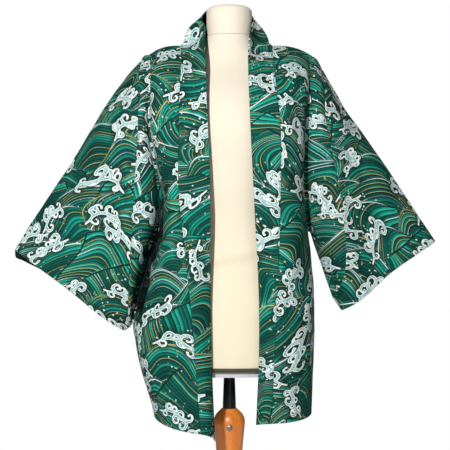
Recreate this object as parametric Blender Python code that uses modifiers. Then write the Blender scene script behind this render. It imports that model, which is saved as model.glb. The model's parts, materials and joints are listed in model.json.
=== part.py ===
"""A short haori jacket worn open on a limbless dress form with a turned wooden stand.

Metres, +Z up. The origin is the middle of the base's underside, and the open front faces -Y.
"Right" and "left" are the wearer's: right is -X, left is +X. Tables are in millimetres.
"""

import math
from collections import namedtuple
from types import SimpleNamespace

import bmesh
import bpy
from mathutils import Vector

MM = 0.001

# Cloth
CLOTH = 1.6  # wall of one layer
BAND = 2.6  # wall of the folded collar band
BAND_LIFT = 0.6  # how far the band's face stands out from the panels'
GAP = 0.3  # between sewn pieces
NECK_GAP = 0.8  # the same where the band turns round the back of the neck
FACET = 3.0  # flat strip on each side of a seam, so that both edges meet square

# Shares of the way down an armhole at which a row of points lies
DOWN = (0.03, 0.08, 0.14, 0.21, 0.3, 0.4, 0.5, 0.6, 0.7, 0.8, 0.89, 0.96)
FOLD_LAST = len(DOWN) + 2  # the row one facet short of the underarm
LOWER_ROWS = 6  # rows from the underarm to the hem
INSETS = (GAP / 2, FACET)  # from a seam to the two rows that flank it

# Shares of the way from the collar band to the side of a front, and the roundness of that side
ACROSS = (0.0, 0.22, 0.46, 0.7, 0.88, 0.97, 1.0)
SIDE_ROUNDNESS = 2.3
# The back's points between the collar band's corner and its middle
NECK_ACROSS = (0.93, 0.79, 0.54, 0.27)
NECK_DEPTH = (0.13, 0.4, 0.76, 0.95)  # shares of the way from the shoulder line to the middle
NECK_TURN = (0.35, 0.8, 1.0, 1.0)  # how far the cloth there has turned from level to hanging

# Shares of the way out along a sleeve
SLEEVE_ALONG = (0.1, 0.24, 0.4, 0.56, 0.72, 0.87, 1.0)

Edge = namedtuple("Edge", "height side depth")
Fold = namedtuple("Fold", "height side front back floor")
Seam = namedtuple("Seam", "height side front back")
Rail = namedtuple("Rail", "share side height")
Side = namedtuple("Side", "height side")

# Each half's cut and hang. corner_rise is how far the cloth rounds up past the shoulder tip, and
# neck_rise gives shares of the way from the band's corner up to the middle of the back neck.
RIGHT = SimpleNamespace(
    name="right",
    sign=-1,
    ridge=Edge(1397, 175, 8),
    corner_rise=6,
    neck_rise=(0.16, 0.48, 0.82, 0.97),
    underarm=Edge(802, 211, 0),
    hem_front=585,
    hem_side=612,
    # Where the collar band is sewn on, from the neck down
    band_seam=(
        Edge(1416, 107, 4),
        Edge(1353, 103, -71),
        Edge(1301, 105, -110),
        Edge(1213, 106, -134),
        Edge(1107, 107, -137),
        Edge(999, 97, -140),
        Edge(872, 83, -145),
        Edge(736, 71, -150),
        Edge(585, 60, -148),
    ),
    # The free edge of the collar band beside it
    band_edge=(
        Edge(1457, 54, -14),
        Edge(1432, 53, -42),
        Edge(1370, 51, -90),
        Edge(1260, 47, -130),
        Edge(1155, 42, -134),
        Edge(1019, 40, -132),
        Edge(862, 40, -128),
        Edge(716, 37, -124),
        Edge(651, 35, -112),
        Edge(563, 31, -100),
    ),
    # The deep fold between body and sleeve
    fold=(
        Fold(1397, 175, 8, 8, 3),
        Fold(1354, 171, -42, 44, 3),
        Fold(1223, 169, -62, 74, 4),
        Fold(1116, 151, -52, 72, 5),
        Fold(1041, 147, -34, 58, 6),
        Fold(975, 161, -14, 44, 13),
        Fold(910, 182, -12, 34, 13),
        Fold(855, 197, -10, 22, 10),
        Fold(802, 211, -3, 4, 4),
    ),
    armhole=(
        Seam(1381, 196, 8, 8),
        Seam(1316, 197, -52, 48),
        Seam(1220, 196, -75, 70),
        Seam(1128, 202, -80, 76),
        Seam(1013, 208, -75, 74),
        Seam(931, 215, -64, 64),
        Seam(846, 220, -38, 42),
        Seam(807, 221, -18, 20),
        Seam(792, 221, 0, 0),
    ),
    body_side=(
        Side(802, 211),
        Side(782, 207),
        Side(735, 200),
        Side(687, 188),
        Side(641, 173),
        Side(612, 166),
    ),
    sleeve_top=(
        Rail(0.0, 196, 1381),
        Rail(0.16, 239, 1332),
        Rail(0.3, 281, 1267),
        Rail(0.55, 348, 1156),
        Rail(0.84, 429, 1035),
        Rail(1.0, 471, 965),
    ),
    cuff_top=Edge(965, 471, 0),
    cuff_bottom=Edge(787, 231, 0),
    cuff_front=30,
    cuff_back=36,
    cuff_inside_shows=15,
    cuff_sway=2.5,
)

LEFT = SimpleNamespace(
    name="left",
    sign=1,
    ridge=Edge(1397, 176, 8),
    corner_rise=8,
    neck_rise=(0.1, 0.38, 0.76, 0.95),
    underarm=Edge(1006, 172, 0),
    hem_front=607,
    hem_side=613,
    band_seam=(
        Edge(1416, 94, 4),
        Edge(1352, 96, -72),
        Edge(1301, 100, -110),
        Edge(1213, 107, -134),
        Edge(1061, 106, -138),
        Edge(934, 102, -142),
        Edge(864, 99, -145),
        Edge(781, 95, -148),
        Edge(678, 90, -150),
        Edge(607, 87, -148),
    ),
    band_edge=(
        Edge(1457, 50, -26),
        Edge(1432, 44, -48),
        Edge(1370, 40, -92),
        Edge(1260, 42, -130),
        Edge(1155, 47, -134),
        Edge(1019, 54, -132),
        Edge(862, 62, -128),
        Edge(716, 62, -124),
        Edge(673, 60, -116),
        Edge(597, 57, -102),
    ),
    fold=(
        Fold(1397, 176, 8, 8, 3),
        Fold(1343, 174, -44, 46, 4),
        Fold(1288, 169, -58, 64, 4),
        Fold(1223, 163, -60, 72, 4),
        Fold(1095, 161, -44, 58, 4),
        Fold(1030, 166, -18, 24, 4),
        Fold(1006, 172, -3, 4, 5),
    ),
    armhole=(
        Seam(1363, 205, 8, 8),
        Seam(1322, 207, -38, 38),
        Seam(1244, 208, -64, 60),
        Seam(1190, 217, -74, 70),
        Seam(1115, 232, -79, 74),
        Seam(1019, 246, -74, 70),
        Seam(966, 251, -64, 60),
        Seam(911, 248, -44, 42),
        Seam(874, 236, -18, 18),
        Seam(857, 228, 0, 0),
    ),
    body_side=(
        Side(1006, 172),
        Side(956, 178),
        Side(894, 183),
        Side(830, 186),
        Side(766, 185),
        Side(705, 183),
        Side(614, 180),
    ),
    sleeve_top=(
        Rail(0.0, 205, 1363),
        Rail(0.14, 240, 1303),
        Rail(0.26, 270, 1255),
        Rail(0.6, 350, 1141),
        Rail(0.8, 401, 1063),
        Rail(1.0, 453, 984),
    ),
    cuff_top=Edge(984, 453, 0),
    cuff_bottom=Edge(832, 247, 0),
    cuff_front=30,
    cuff_back=34,
    cuff_inside_shows=0,
    cuff_sway=5,
)

# The back's middle line, and how far back its shoulders stand
BACK_HEM = 674
BACK_MIDDLE = (
    Edge(1451, 0, 82),
    Edge(1400, 0, 102),
    Edge(1330, 0, 118),
    Edge(1250, 0, 122),
    Edge(1100, 0, 118),
    Edge(1000, 0, 122),
    Edge(850, 0, 134),
    Edge(674, 0, 134),
)
BACK_SHOULDER = (
    Edge(1416, 0, 8),
    Edge(1400, 0, 36),
    Edge(1378, 0, 62),
    Edge(1350, 0, 86),
    Edge(1300, 0, 110),
    Edge(1250, 0, 122),
    Edge(1100, 0, 118),
    Edge(1000, 0, 122),
    Edge(850, 0, 134),
    Edge(674, 0, 134),
)
SHOULDER_FADE = 140  # height over which a row's shoulder slope dies out
BACK_FOLD = 7  # depth of the back's hanging folds at the hem
BACK_FOLD_WIDTH = 92
SHOULDER_POWER = 2.8  # how late the shoulder line falls towards its tip

# The band's free edge round the back of the neck, from the wearer's right to left
NeckEdge = namedtuple("NeckEdge", "half side depth height stiff")
NECK_SIDES = {"right": -1, "middle": 0, "left": 1}
BAND_NECK_EDGE = (
    NeckEdge("right", 59, 2, 1468, 0.5),
    NeckEdge("right", 58, 22, 1484, 0.5),
    NeckEdge("right", 48, 42, 1500, 0.45),
    NeckEdge("right", 25, 56, 1510, 0.4),
    NeckEdge("middle", 0, 62, 1514, 0.4),
    NeckEdge("left", 25, 55, 1508, 0.3),
    NeckEdge("left", 43, 40, 1495, 0.2),
    NeckEdge("left", 51, 20, 1481, 0.15),
    NeckEdge("left", 54, -3, 1468, 0.3),
)
BAND_ROUND = (0.0, 0.2, 0.42, 0.66, 0.85, 1.0)
BAND_TURN = 0.3  # how much a step forwards counts, beside a step down, along its length
BAND_STIFF = 0.42  # share of its width over which the band keeps the panel's direction

# The cloth between fold and armhole: (share out, share of the change in depth, extra swell)
WING_ACROSS = ((0.14, 0.6, 0), (0.4, 0.93, 2), (0.72, 1.0, 4))
FLOOR_SLOPE = 0.6
INWARD_PULL = 0.8  # how far the armhole's direction follows the body rather than the sleeve
SQUARING = 0.5  # how far that direction is turned square to the armhole
SQUARING_ROWS = 4  # rows from the shoulder over which it is turned

# Dress form: sections of the torso
Section = namedtuple("Section", "height width front back")
TORSO = (
    Section(708, 160, -110, 110),
    Section(714, 166, -116, 116),
    Section(725, 168, -118, 119),
    Section(790, 170, -119, 123),
    Section(850, 168, -118, 122),
    Section(930, 148, -110, 110),
    Section(1030, 122, -102, 92),
    Section(1110, 130, -112, 96),
    Section(1200, 138, -121, 104),
    Section(1250, 144, -116, 106),
    Section(1300, 152, -96, 100),
    Section(1340, 148, -70, 80),
    Section(1365, 128, -56, 64),
    Section(1384, 96, -51, 56),
    Section(1402, 68, -50, 54),
    Section(1417, 57, -51, 53),
    Section(1426, 53, -51, 52),
    Section(1432, 50.5, -50.5, 50.5),
)
TORSO_SIDES = 44
TORSO_SQUARENESS = 2.1
NECK_RADIUS = 50
NECK_TOP = 1497.5
NECK_ROUND = 12
BOARD_THICK = 11
BOARD_INSET = 7

# Stand
POLE_TOP_RADIUS = 12.2
POLE_RADIUS = 14.4
POLE_IN_HEAD = 70
POLE_NECK = 10  # its straight part above and below the taper
HEAD_TOP = 617
HEAD_RADIUS = 34.3
HEAD_FLAT = 17  # radius of the flat round the bore
HEAD_ROUND = 25  # height of the rounded shoulder
BORE_BEVEL = 1.5
BASE_RADIUS = 175
BASE_THICK = 22
BASE_ROUND = 9  # of its upper edge
BASE_BEVEL = 3  # of its lower edge
ROUND_SIDES = 32
# The turned column below its rounded head, down to its foot on the base
Turning = namedtuple("Turning", "radius height")
COLUMN = (
    Turning(HEAD_RADIUS, 585),
    Turning(32.9, 569),
    Turning(29, 524),
    Turning(25, 440),
    Turning(21.5, 330),
    Turning(20, 220),
    Turning(21, 120),
    Turning(24, 60),
    Turning(30, 36),
    Turning(32, 30),
)
SCREW_HEIGHT = 579
SCREW_RADIUS = 6.5
SCREW_HEAD = 3.4  # height of its domed head
SCREW_RIM = 0.9  # height of the head's edge
SCREW_DOME_STEPS = 5
SLOT = (9, 1.5, 2.4)  # length, width and depth of one slot of the cross
SLOT_TURNS = (20, 110)

COLOURS = {
    "haori cotton": ((0.012, 0.19, 0.13), 0.85, 0.0),
    "form cover": ((0.86, 0.79, 0.60), 0.9, 0.0),
    "form board": ((0.82, 0.82, 0.80), 0.8, 0.0),
    "black steel": ((0.02, 0.022, 0.025), 0.3, 0.6),
    "varnished wood": ((0.62, 0.27, 0.07), 0.25, 0.0),
    "screw steel": ((0.6, 0.6, 0.58), 0.3, 1.0),
}


def clear_scene():
    for obj in list(bpy.data.objects):
        bpy.data.objects.remove(obj, do_unlink=True)


def make_collection(name):
    made = bpy.data.collections.new(name)
    bpy.context.scene.collection.children.link(made)
    return made


def make_material(name):
    colour, roughness, metallic = COLOURS[name]
    material = bpy.data.materials.new(name)
    material.use_nodes = True
    shader = material.node_tree.nodes["Principled BSDF"]
    shader.inputs["Base Color"].default_value = (*colour, 1.0)
    shader.inputs["Roughness"].default_value = roughness
    shader.inputs["Metallic"].default_value = metallic
    return material


def at_height(rows, height):
    """The row at a height, on a smooth curve through a table whose heights fall."""
    height = min(max(height, rows[-1].height), rows[0].height)
    below = next(k for k in range(1, len(rows)) if rows[k].height <= height)
    return smooth_between(rows, below, height, "height")


def at_share(rows, share):
    """The row at a share of the way along a rail."""
    after = next(k for k in range(1, len(rows)) if rows[k].share >= share)
    return smooth_between(rows, after, share, "share")


def smooth_between(rows, after, value, key):
    first, last = rows[after - 1], rows[after]
    before = rows[max(after - 2, 0)]
    beyond = rows[min(after + 1, len(rows) - 1)]
    start, end = getattr(first, key), getattr(last, key)
    span = end - start
    t = (value - start) / span
    found = {key: value}
    for name in first._fields:
        if name == key:
            continue
        a, b = getattr(first, name), getattr(last, name)
        slope_a = slope(before, last, name, key) * span
        slope_b = slope(first, beyond, name, key) * span
        found[name] = hermite(a, b, slope_a, slope_b, t)
    return type(first)(**found)


def slope(low, high, name, key):
    return (getattr(high, name) - getattr(low, name)) / (getattr(high, key) - getattr(low, key))


def hermite(a, b, slope_a, slope_b, t):
    square, cube = t * t, t * t * t
    return (
        (2 * cube - 3 * square + 1) * a
        + (cube - 2 * square + t) * slope_a
        + (3 * square - 2 * cube) * b
        + (cube - square) * slope_b
    )


def mix(a, b, t):
    return a + (b - a) * t


def quarter_round(t, power=SIDE_ROUNDNESS):
    """0 at t=0 and 1 at t=1, flat at first and upright at the end, like a quarter of an oval."""
    return 1 - (1 - min(t, 1.0) ** power) ** (1 / power)


def point(half, side, depth, height):
    return Vector((half.sign * side, depth, height))


def fade(drop):
    """1 at the shoulder, 0 once a row lies SHOULDER_FADE below it."""
    t = min(max(drop / SHOULDER_FADE, 0), 1)
    return 1 - t * t * (3 - 2 * t)


def shifted(row, depth):
    """The same points at one depth."""
    return [Vector((place.x, depth, place.z)) for place in row]


def toward(layer):
    return -1 if layer == "front" else 1


def fold_rows(half, layer):
    """The deep fold between body and sleeve, from the shoulder seam to the underarm."""
    ridge, underarm = half.ridge, half.underarm
    out = toward(layer)
    rows = [point(half, ridge.side, ridge.depth + out * inset, ridge.height) for inset in INSETS]
    for share in DOWN:
        row = at_height(half.fold, mix(ridge.height, underarm.height, share))
        rows.append(point(half, row.side, getattr(row, layer), row.height))
    for inset in reversed(INSETS):
        rows.append(point(half, underarm.side, out * inset, underarm.height))
    return rows


def floor_widths(half):
    """Width of the fold's floor on each row."""
    heights = [mix(half.ridge.height, half.underarm.height, share) for share in DOWN]
    inner = [at_height(half.fold, height).floor for height in heights]
    last = half.fold[-1].floor
    return [FACET, FACET, *inner, last, last]


def armhole_rows(half, layer):
    """The line on which the sleeve is sewn to the body, as fold_rows."""
    top, bottom = half.armhole[0], half.armhole[-1]
    out = toward(layer)
    rows = [point(half, top.side, top.front + out * inset, top.height) for inset in INSETS]
    for share in DOWN:
        row = at_height(half.armhole, mix(top.height, bottom.height, share))
        rows.append(point(half, row.side, getattr(row, layer), row.height))
    for inset in reversed(INSETS):
        rows.append(point(half, bottom.side, out * inset, bottom.height))
    return rows


def cuff_rows(half, layer):
    """The sleeve's open end: one layer from the top fold to the bottom."""
    depth = half.cuff_front if layer == "front" else half.cuff_back
    top, bottom = half.cuff_top, half.cuff_bottom
    first = point(half, top.side, 0, top.height)
    last = point(half, bottom.side, 0, bottom.height)
    chord = (first - last).normalized()
    outward = Vector((half.sign * abs(chord.z), 0, -abs(chord.x)))
    rows = []
    for share in (0.0, 0.002, *DOWN, 0.998, 1.0):
        place = first.lerp(last, share)
        place.y = toward(layer) * depth * math.sqrt(max(1 - (2 * share - 1) ** 2, 0))
        place -= outward * half.cuff_sway * math.sin(2 * math.pi * share**1.6)
        if layer == "back":
            longer = max(1 - share / 0.42, 0) * min(share / 0.02, 1)
            place += outward * half.cuff_inside_shows * longer
        rows.append(place)
    return rows


def seam_directions(half, layer):
    """At each point of the armhole seam, the way across it, square to it and out along the sleeve."""
    seam = armhole_rows(half, layer)
    fold = fold_rows(half, layer)
    cuff = cuff_rows(half, layer)
    found = []
    for k, place in enumerate(seam):
        across = (cuff[k] - place).normalized() + (place - fold[k]).normalized() * INWARD_PULL
        ends = k < len(INSETS) or k >= len(seam) - len(INSETS)
        along = Vector((0, 1, 0)) if ends else (seam[k + 1] - seam[k - 1]).normalized()
        squaring = 1 if ends else SQUARING * min((k - 1) / SQUARING_ROWS, 1)
        found.append((across - along * across.dot(along) * squaring).normalized())
    found[1] = found[0]
    found[-2] = found[-1]
    return found


def wing_grid(half, layer):
    """Rows from the deep fold out to the armhole seam, for one layer of the body."""
    fold = fold_rows(half, layer)
    armhole = armhole_rows(half, layer)
    floors = floor_widths(half)
    directions = seam_directions(half, layer)
    grid = []
    for k, (start, seam) in enumerate(zip(fold, armhole)):
        end = seam - directions[k] * FACET
        floor = start + Vector((half.sign * floors[k], 0, 0))
        floor.z -= floors[k] * FLOOR_SLOPE
        row = [start, floor]
        for out, rise, swell in WING_ACROSS:
            place = floor.lerp(end, out)
            place.y = mix(start.y, end.y, rise) + toward(layer) * swell * min(abs(end.y) / 60, 1)
            place.z += shoulder_corner(half, k, out)
            row.append(place)
        row.append(end)
        row.append(seam - directions[k] * GAP / 2)
        grid.append(row)
    out = toward(layer)
    ridge = half.ridge.depth
    for k, depth in ((0, ridge + out * GAP / 2), (1, ridge + out * FACET)):
        grid[k] = shifted(grid[0], depth)
    for k, depth in ((-2, out * FACET), (-1, out * GAP / 2)):
        grid[k] = shifted(grid[-1], depth)
    return grid


def shoulder_corner(half, k, out):
    """The rounded corner that the cloth makes past the shoulder tip, in the first rows."""
    return half.corner_rise * math.sin(math.pi * out**1.3) * max(1 - k / 4, 0)


def torso_heights(half):
    """(height, drop) of each row at the fold, and then at the side below the underarm."""
    upper = [place.z for place in fold_rows(half, "front")[:-1]]
    low = half.underarm.height
    lower = [mix(low, half.hem_side, k / LOWER_ROWS) for k in range(1, LOWER_ROWS + 1)]
    return upper, lower


def front_rows(half):
    """Rows of a front from the band seam: to the fold, and below it to the side seam."""
    fold = fold_rows(half, "front")
    upper, lower = torso_heights(half)
    neck_rise = half.band_seam[0].height - half.ridge.height
    rows = []
    for place in fold[:-1]:
        rise = neck_rise * fade(half.ridge.height - place.z)
        seam = at_height(half.band_seam, place.z + rise)
        rows.append(front_row(half, seam, place, lambda share: share**SHOULDER_POWER))
    rows[0] = shifted(rows[0], half.ridge.depth - GAP / 2)
    rows[1] = shifted(rows[0], half.ridge.depth - FACET)
    rows[-1].append(fold[-1])
    start = rows[-1][0].z
    for k, height in enumerate(lower, 1):
        seam = at_height(half.band_seam, mix(start, half.hem_front, k / LOWER_ROWS))
        side = at_height(half.body_side, height).side
        row = front_row(half, seam, point(half, side, -FACET, height), hem_fall)
        row.append(point(half, side, -GAP / 2, height))
        rows.append(row)
    return rows


def hem_fall(share):
    return (share + quarter_round(share)) / 2


def front_row(half, seam, end, fall):
    row = []
    for share in ACROSS:
        side = mix(seam.side, abs(end.x), share)
        depth = mix(seam.depth, end.y, quarter_round(share))
        row.append(point(half, side, depth, mix(seam.height, end.z, fall(share))))
    return row


def back_grid():
    """Rows of the back between its two folds or side seams, right to left."""
    folds = {half.name: fold_rows(half, "back") for half in (RIGHT, LEFT)}
    lower = {half.name: torso_heights(half)[1] for half in (RIGHT, LEFT)}
    last = len(folds["right"]) - 2
    top = (RIGHT.ridge.height + LEFT.ridge.height) / 2
    grid = []
    for k in range(last + 1):
        ends = {name: rows[k] for name, rows in folds.items()}
        middle = (ends["right"].z + ends["left"].z) / 2
        grid.append(back_row(ends, middle, fade(top - middle), 0))
    grid[0] = shoulder_line(grid[0], GAP / 2)
    flat = shoulder_line(grid[0], FACET)
    corner = len(ACROSS)
    for j in range(corner, len(flat) - corner):
        near = min(j, len(flat) - 1 - j) - corner
        flat[j] = below_neck(grid[0][j], grid[2][j], (*NECK_TURN, 1.0)[near])
    grid[1] = flat
    grid[last] = [folds["right"][-1], *grid[last], folds["left"][-1]]
    start = grid[last][len(grid[last]) // 2].z
    for k in range(LOWER_ROWS):
        share = (k + 1) / LOWER_ROWS
        ends, seams = {}, {}
        for half in (RIGHT, LEFT):
            height = lower[half.name][k]
            side = at_height(half.body_side, height).side
            ends[half.name] = point(half, side, FACET, height)
            seams[half.name] = point(half, side, GAP / 2, height)
        row = back_row(ends, mix(start, BACK_HEM, share), 0, share)
        grid.append([seams["right"], *row, seams["left"]])
    return grid


def shoulder_line(row, inset):
    """The first row brought to the shoulder line, and between the corners to the neck seam."""
    corner = len(ACROSS)
    count = len(row)
    placed = []
    for j, place in enumerate(row):
        near = min(j, count - 1 - j)
        half = RIGHT if j < count / 2 else LEFT
        if near < corner:
            fall = 1 - ACROSS[-1 - near] ** SHOULDER_POWER
            height = mix(half.ridge.height, half.band_seam[0].height, fall)
            placed.append(Vector((place.x, half.ridge.depth + inset, height)))
        else:
            share = (*NECK_DEPTH, 1.0)[near - corner]
            depth = mix(half.ridge.depth, BACK_MIDDLE[0].depth, share)
            placed.append(Vector((place.x, depth, place.z)))
    return placed


def below_neck(edge, below, turn):
    """A point one facet from the neck seam: level and outwards, or in line with the row after."""
    level = Vector((edge.x, edge.y, 0)).normalized()
    return edge + level.lerp((below - edge).normalized(), turn).normalized() * FACET


def back_row(ends, middle, near_top, low):
    """One row from side to side. near_top is 1 on the shoulders, low is 1 at the hem."""
    right = back_half(RIGHT, ends["right"], middle, near_top, low)
    left = back_half(LEFT, ends["left"], middle, near_top, low)
    height = middle + near_top * (BACK_MIDDLE[0].height - (RIGHT.ridge.height + LEFT.ridge.height) / 2)
    depth = at_height(BACK_MIDDLE, height).depth + back_wave(0, low)
    return [*right, Vector((0, depth, height)), *reversed(left)]


def back_half(half, end, middle, near_top, low):
    """Points from one side of the back to just short of its middle."""
    neck = half.band_seam[0]
    corner_rise = near_top * (neck.height - half.ridge.height)
    middle_rise = near_top * (BACK_MIDDLE[0].height - half.ridge.height)
    inner = abs(end.x) * neck.side / half.ridge.side
    row = []
    for share in reversed(ACROSS):
        side = mix(inner, abs(end.x), share)
        rise = corner_rise * (1 - share**SHOULDER_POWER)
        row.append(back_point(half, end, side, middle, rise, 0, low))
    for across, depth_share, rise_share in zip(NECK_ACROSS, NECK_DEPTH, half.neck_rise):
        rise = mix(corner_rise, middle_rise, rise_share)
        row.append(back_point(half, end, inner * across, middle, rise, depth_share, low))
    return row


def back_point(half, end, side, middle, rise, neck_share, low):
    share = side / abs(end.x)
    height = mix(middle, end.z, share ** mix(1, 3, min(low * 4, 1))) + rise
    shoulder = at_height(BACK_SHOULDER, height).depth
    full = mix(shoulder, at_height(BACK_MIDDLE, height).depth, neck_share)
    depth = mix(full, end.y, quarter_round(share))
    depth += back_wave(half.sign * side, low) * (1 - share**6)
    return point(half, side, depth, height)


def back_wave(across, low):
    """Soft hanging folds that deepen towards the hem."""
    return BACK_FOLD * low * math.cos(across / BACK_FOLD_WIDTH * 2 * math.pi)


def sleeve_rings(half):
    """Closed rings from the armhole seam to the cuff."""
    layers = [sleeve_columns(half, layer) for layer in ("front", "back")]
    rings = []
    for j in range(len(SLEEVE_ALONG) + 2):
        front = [column[j] for column in layers[0]]
        back = [column[j] for column in layers[1]]
        top = (front[0] + back[0]) / 2
        bottom = (front[-1] + back[-1]) / 2
        rings.append([top, *front[1:-1], bottom, *reversed(back[1:-1])])
    return rings


def sleeve_columns(half, layer):
    """For each point of the armhole seam, the points from there to the cuff."""
    armhole = armhole_rows(half, layer)
    cuff = cuff_rows(half, layer)
    directions = seam_directions(half, layer)
    shares = (0.0, 0.0, *DOWN, 1.0, 1.0)
    columns = []
    for k, (seam, end) in enumerate(zip(armhole, cuff)):
        start = seam + directions[k] * FACET
        column = [seam + directions[k] * GAP / 2, start]
        for along in SLEEVE_ALONG:
            rail = at_share(half.sleeve_top, along)
            straight = armhole[0].lerp(cuff[0], along)
            lift = point(half, rail.side, straight.y, rail.height) - straight
            column.append(start.lerp(end, along) + lift * (1 - shares[k]) ** 1.5)
        columns.append(column)
    return columns


def band_grid(fronts, back):
    """Crossings of the collar band, from the right hem round the neck to the left hem."""
    corner = len(ACROSS)
    last = len(back[0]) - corner
    grid = []
    for row in reversed(fronts["right"]):
        grid.append(band_section(row[0], row[0] - row[1], free_edge(RIGHT, row[0])))
    for j, free in zip(range(corner, last), BAND_NECK_EDGE):
        side = NECK_SIDES[free.half] * free.side
        edge = back[0][j]
        place = Vector((side, free.depth, free.height))
        grid.append(band_section(edge, edge - back[1][j], place, NECK_GAP, free.stiff))
    for row in fronts["left"]:
        grid.append(band_section(row[0], row[0] - row[1], free_edge(LEFT, row[0])))
    return grid


def free_edge(half, edge):
    """The band's free edge beside a point of its seam."""
    seam, free = half.band_seam, half.band_edge
    first, last = seam[0], seam[-1]
    run = first.height - edge.z + BAND_TURN * (half.ridge.depth - edge.y)
    whole = first.height - last.height + BAND_TURN * (half.ridge.depth - last.depth)
    down = min(run / whole, 1)
    row = at_height(free, mix(free[0].height, free[-1].height, down))
    return point(half, row.side, row.depth, row.height)


def band_section(edge, direction, free, gap=GAP, stiff=BAND_STIFF):
    """One crossing of the band: it leaves the panel flat and then turns to its free edge."""
    direction = direction.normalized()
    flat = edge + direction * FACET
    handle = flat + direction * (free - flat).length * stiff
    places = [edge + direction * gap]
    for t in BAND_ROUND:
        places.append(flat * (1 - t) ** 2 + handle * 2 * t * (1 - t) + free * t * t)
    return places


def grid_faces(mesh, grid, ring=False):
    """Quads between the rows of a grid of vertices; ring joins each row's end to its start."""
    for first, second in zip(grid, grid[1:]):
        count = min(len(first), len(second))
        for k in range(count if ring else count - 1):
            j = (k + 1) % count
            mesh.faces.new((first[k], first[j], second[j], second[k]))


def add_vertices(mesh, rows):
    return [[mesh.verts.new(place * MM) for place in row] for row in rows]


def square_normals(mesh):
    """Normals of a sheet's points, those on an edge made square to the cloth beside it.

    Two sheets that meet in line at a seam then have parallel edges, whatever their curves.
    """
    mesh.normal_update()
    normals = {}
    for vert in mesh.verts:
        normal = vert.normal.copy()
        inward = Vector()
        for edge in vert.link_edges:
            if not edge.is_boundary:
                inward += (edge.other_vert(vert).co - vert.co).normalized()
        if vert.is_boundary and inward.length > 0:
            inward.normalize()
            normal = (normal - inward * normal.dot(inward)).normalized()
        normals[vert] = normal
    return normals


def thicken(mesh, wall, lift, given):
    """Turns the sheet into a closed wall that grows inwards, its face lifted by lift.

    Points listed in given have their normal there. Both sides get the same triangles, and both
    edges of a seam too, so that the walls never touch where they twist.
    """
    normals = {**square_normals(mesh), **given}
    bmesh.ops.triangulate(mesh, faces=mesh.faces)
    faces = list(mesh.faces)
    rims = [next(iter(edge.link_loops)) for edge in mesh.edges if edge.is_boundary]
    rims = [(loop.vert, loop.link_loop_next.vert) for loop in rims]
    inner = {vert: mesh.verts.new(vert.co - normal * (wall - lift) * MM)
             for vert, normal in normals.items()}
    for vert, normal in normals.items():
        vert.co += normal * lift * MM
    for face in faces:
        mesh.faces.new([inner[vert] for vert in reversed(face.verts)])
    for start, end in rims:
        if start.co.z > end.co.z:
            mesh.faces.new((end, start, inner[end]))
            mesh.faces.new((start, inner[start], inner[end]))
        else:
            mesh.faces.new((end, start, inner[start]))
            mesh.faces.new((end, inner[start], inner[end]))


def cloth_object(name, mesh, wall, lift, material, collection, given=()):
    thicken(mesh, wall, lift, dict(given))
    data = bpy.data.meshes.new(name)
    mesh.to_mesh(data)
    mesh.free()
    obj = bpy.data.objects.new(name, data)
    collection.objects.link(obj)
    data.materials.append(material)
    data.shade_smooth()
    data.set_sharp_from_angle(angle=math.radians(60))
    return obj


def face_outwards(mesh, outside):
    """Turns the sheet's faces so that they face away from the wearer."""
    bmesh.ops.recalc_face_normals(mesh, faces=mesh.faces)
    total = sum(face.normal.dot(outside(face.calc_center_median())) for face in mesh.faces)
    if total < 0:
        bmesh.ops.reverse_faces(mesh, faces=mesh.faces)


def add_wing(mesh, body, last, end, half, layer):
    """Joins the cloth beyond the deep fold to a body's grid, and gives that cloth's rows."""
    column = [row[end] for row in body[:last]]
    column += [body[last][end - 1 if end else 1], body[last][end]]
    rows = []
    for vert, places in zip(column, wing_grid(half, layer)):
        rows.append([vert, *(mesh.verts.new(place * MM) for place in places[1:])])
    grid_faces(mesh, rows)
    return rows


def make_front(half, material, collection):
    mesh = bmesh.new()
    body = add_vertices(mesh, front_rows(half))
    grid_faces(mesh, body)
    add_wing(mesh, body, FOLD_LAST, -1, half, "front")
    face_outwards(mesh, lambda place: Vector((0, -1, 0)))
    return cloth_object(f"front_{half.name}", mesh, CLOTH, 0, material, collection)


def make_back(material, collection):
    mesh = bmesh.new()
    body = add_vertices(mesh, back_grid())
    grid_faces(mesh, [body[k] for k in range(FOLD_LAST)])
    grid_faces(mesh, [body[FOLD_LAST - 1], body[FOLD_LAST][1:-1]])
    grid_faces(mesh, body[FOLD_LAST:])
    add_wing(mesh, body, FOLD_LAST, 0, RIGHT, "back")
    add_wing(mesh, body, FOLD_LAST, -1, LEFT, "back")
    face_outwards(mesh, lambda place: Vector((0, 1, 0)))
    return cloth_object("back", mesh, CLOTH, 0, material, collection, neck_corners(body[0]))


def neck_corners(row):
    """The two points where shoulder, neck and band meet, with the shoulder's own normal."""
    corner = len(ACROSS) - 1
    for at, beside in ((corner, corner - 1), (-1 - corner, -corner)):
        face = next(face for face in row[at].link_faces if row[beside] in face.verts)
        face.normal_update()
        yield row[at], face.normal.copy()


def make_sleeve(half, material, collection):
    mesh = bmesh.new()
    rings = add_vertices(mesh, sleeve_rings(half))
    grid_faces(mesh, rings, ring=True)
    face_outwards(mesh, lambda place: Vector((0, place.y, 0)))
    front = edge_normals(wing_grid(half, "front"), -1, False)
    back = edge_normals(wing_grid(half, "back"), -1, True)
    around = [*front, *reversed(back[1:-1])]
    given = zip(rings[0], around)
    return cloth_object(f"sleeve_{half.name}", mesh, CLOTH, 0, material, collection, given)


def edge_normals(grid, column, behind):
    """The normals that a panel has along a column of its grid, or along its first row."""
    mesh = bmesh.new()
    rows = add_vertices(mesh, grid)
    grid_faces(mesh, rows)
    face_outwards(mesh, lambda place: Vector((0, 1 if behind else -1, 0)))
    normals = square_normals(mesh)
    edge = rows[0] if column is None else [row[column] for row in rows]
    found = [normals[vert] for vert in edge]
    mesh.free()
    return found


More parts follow.
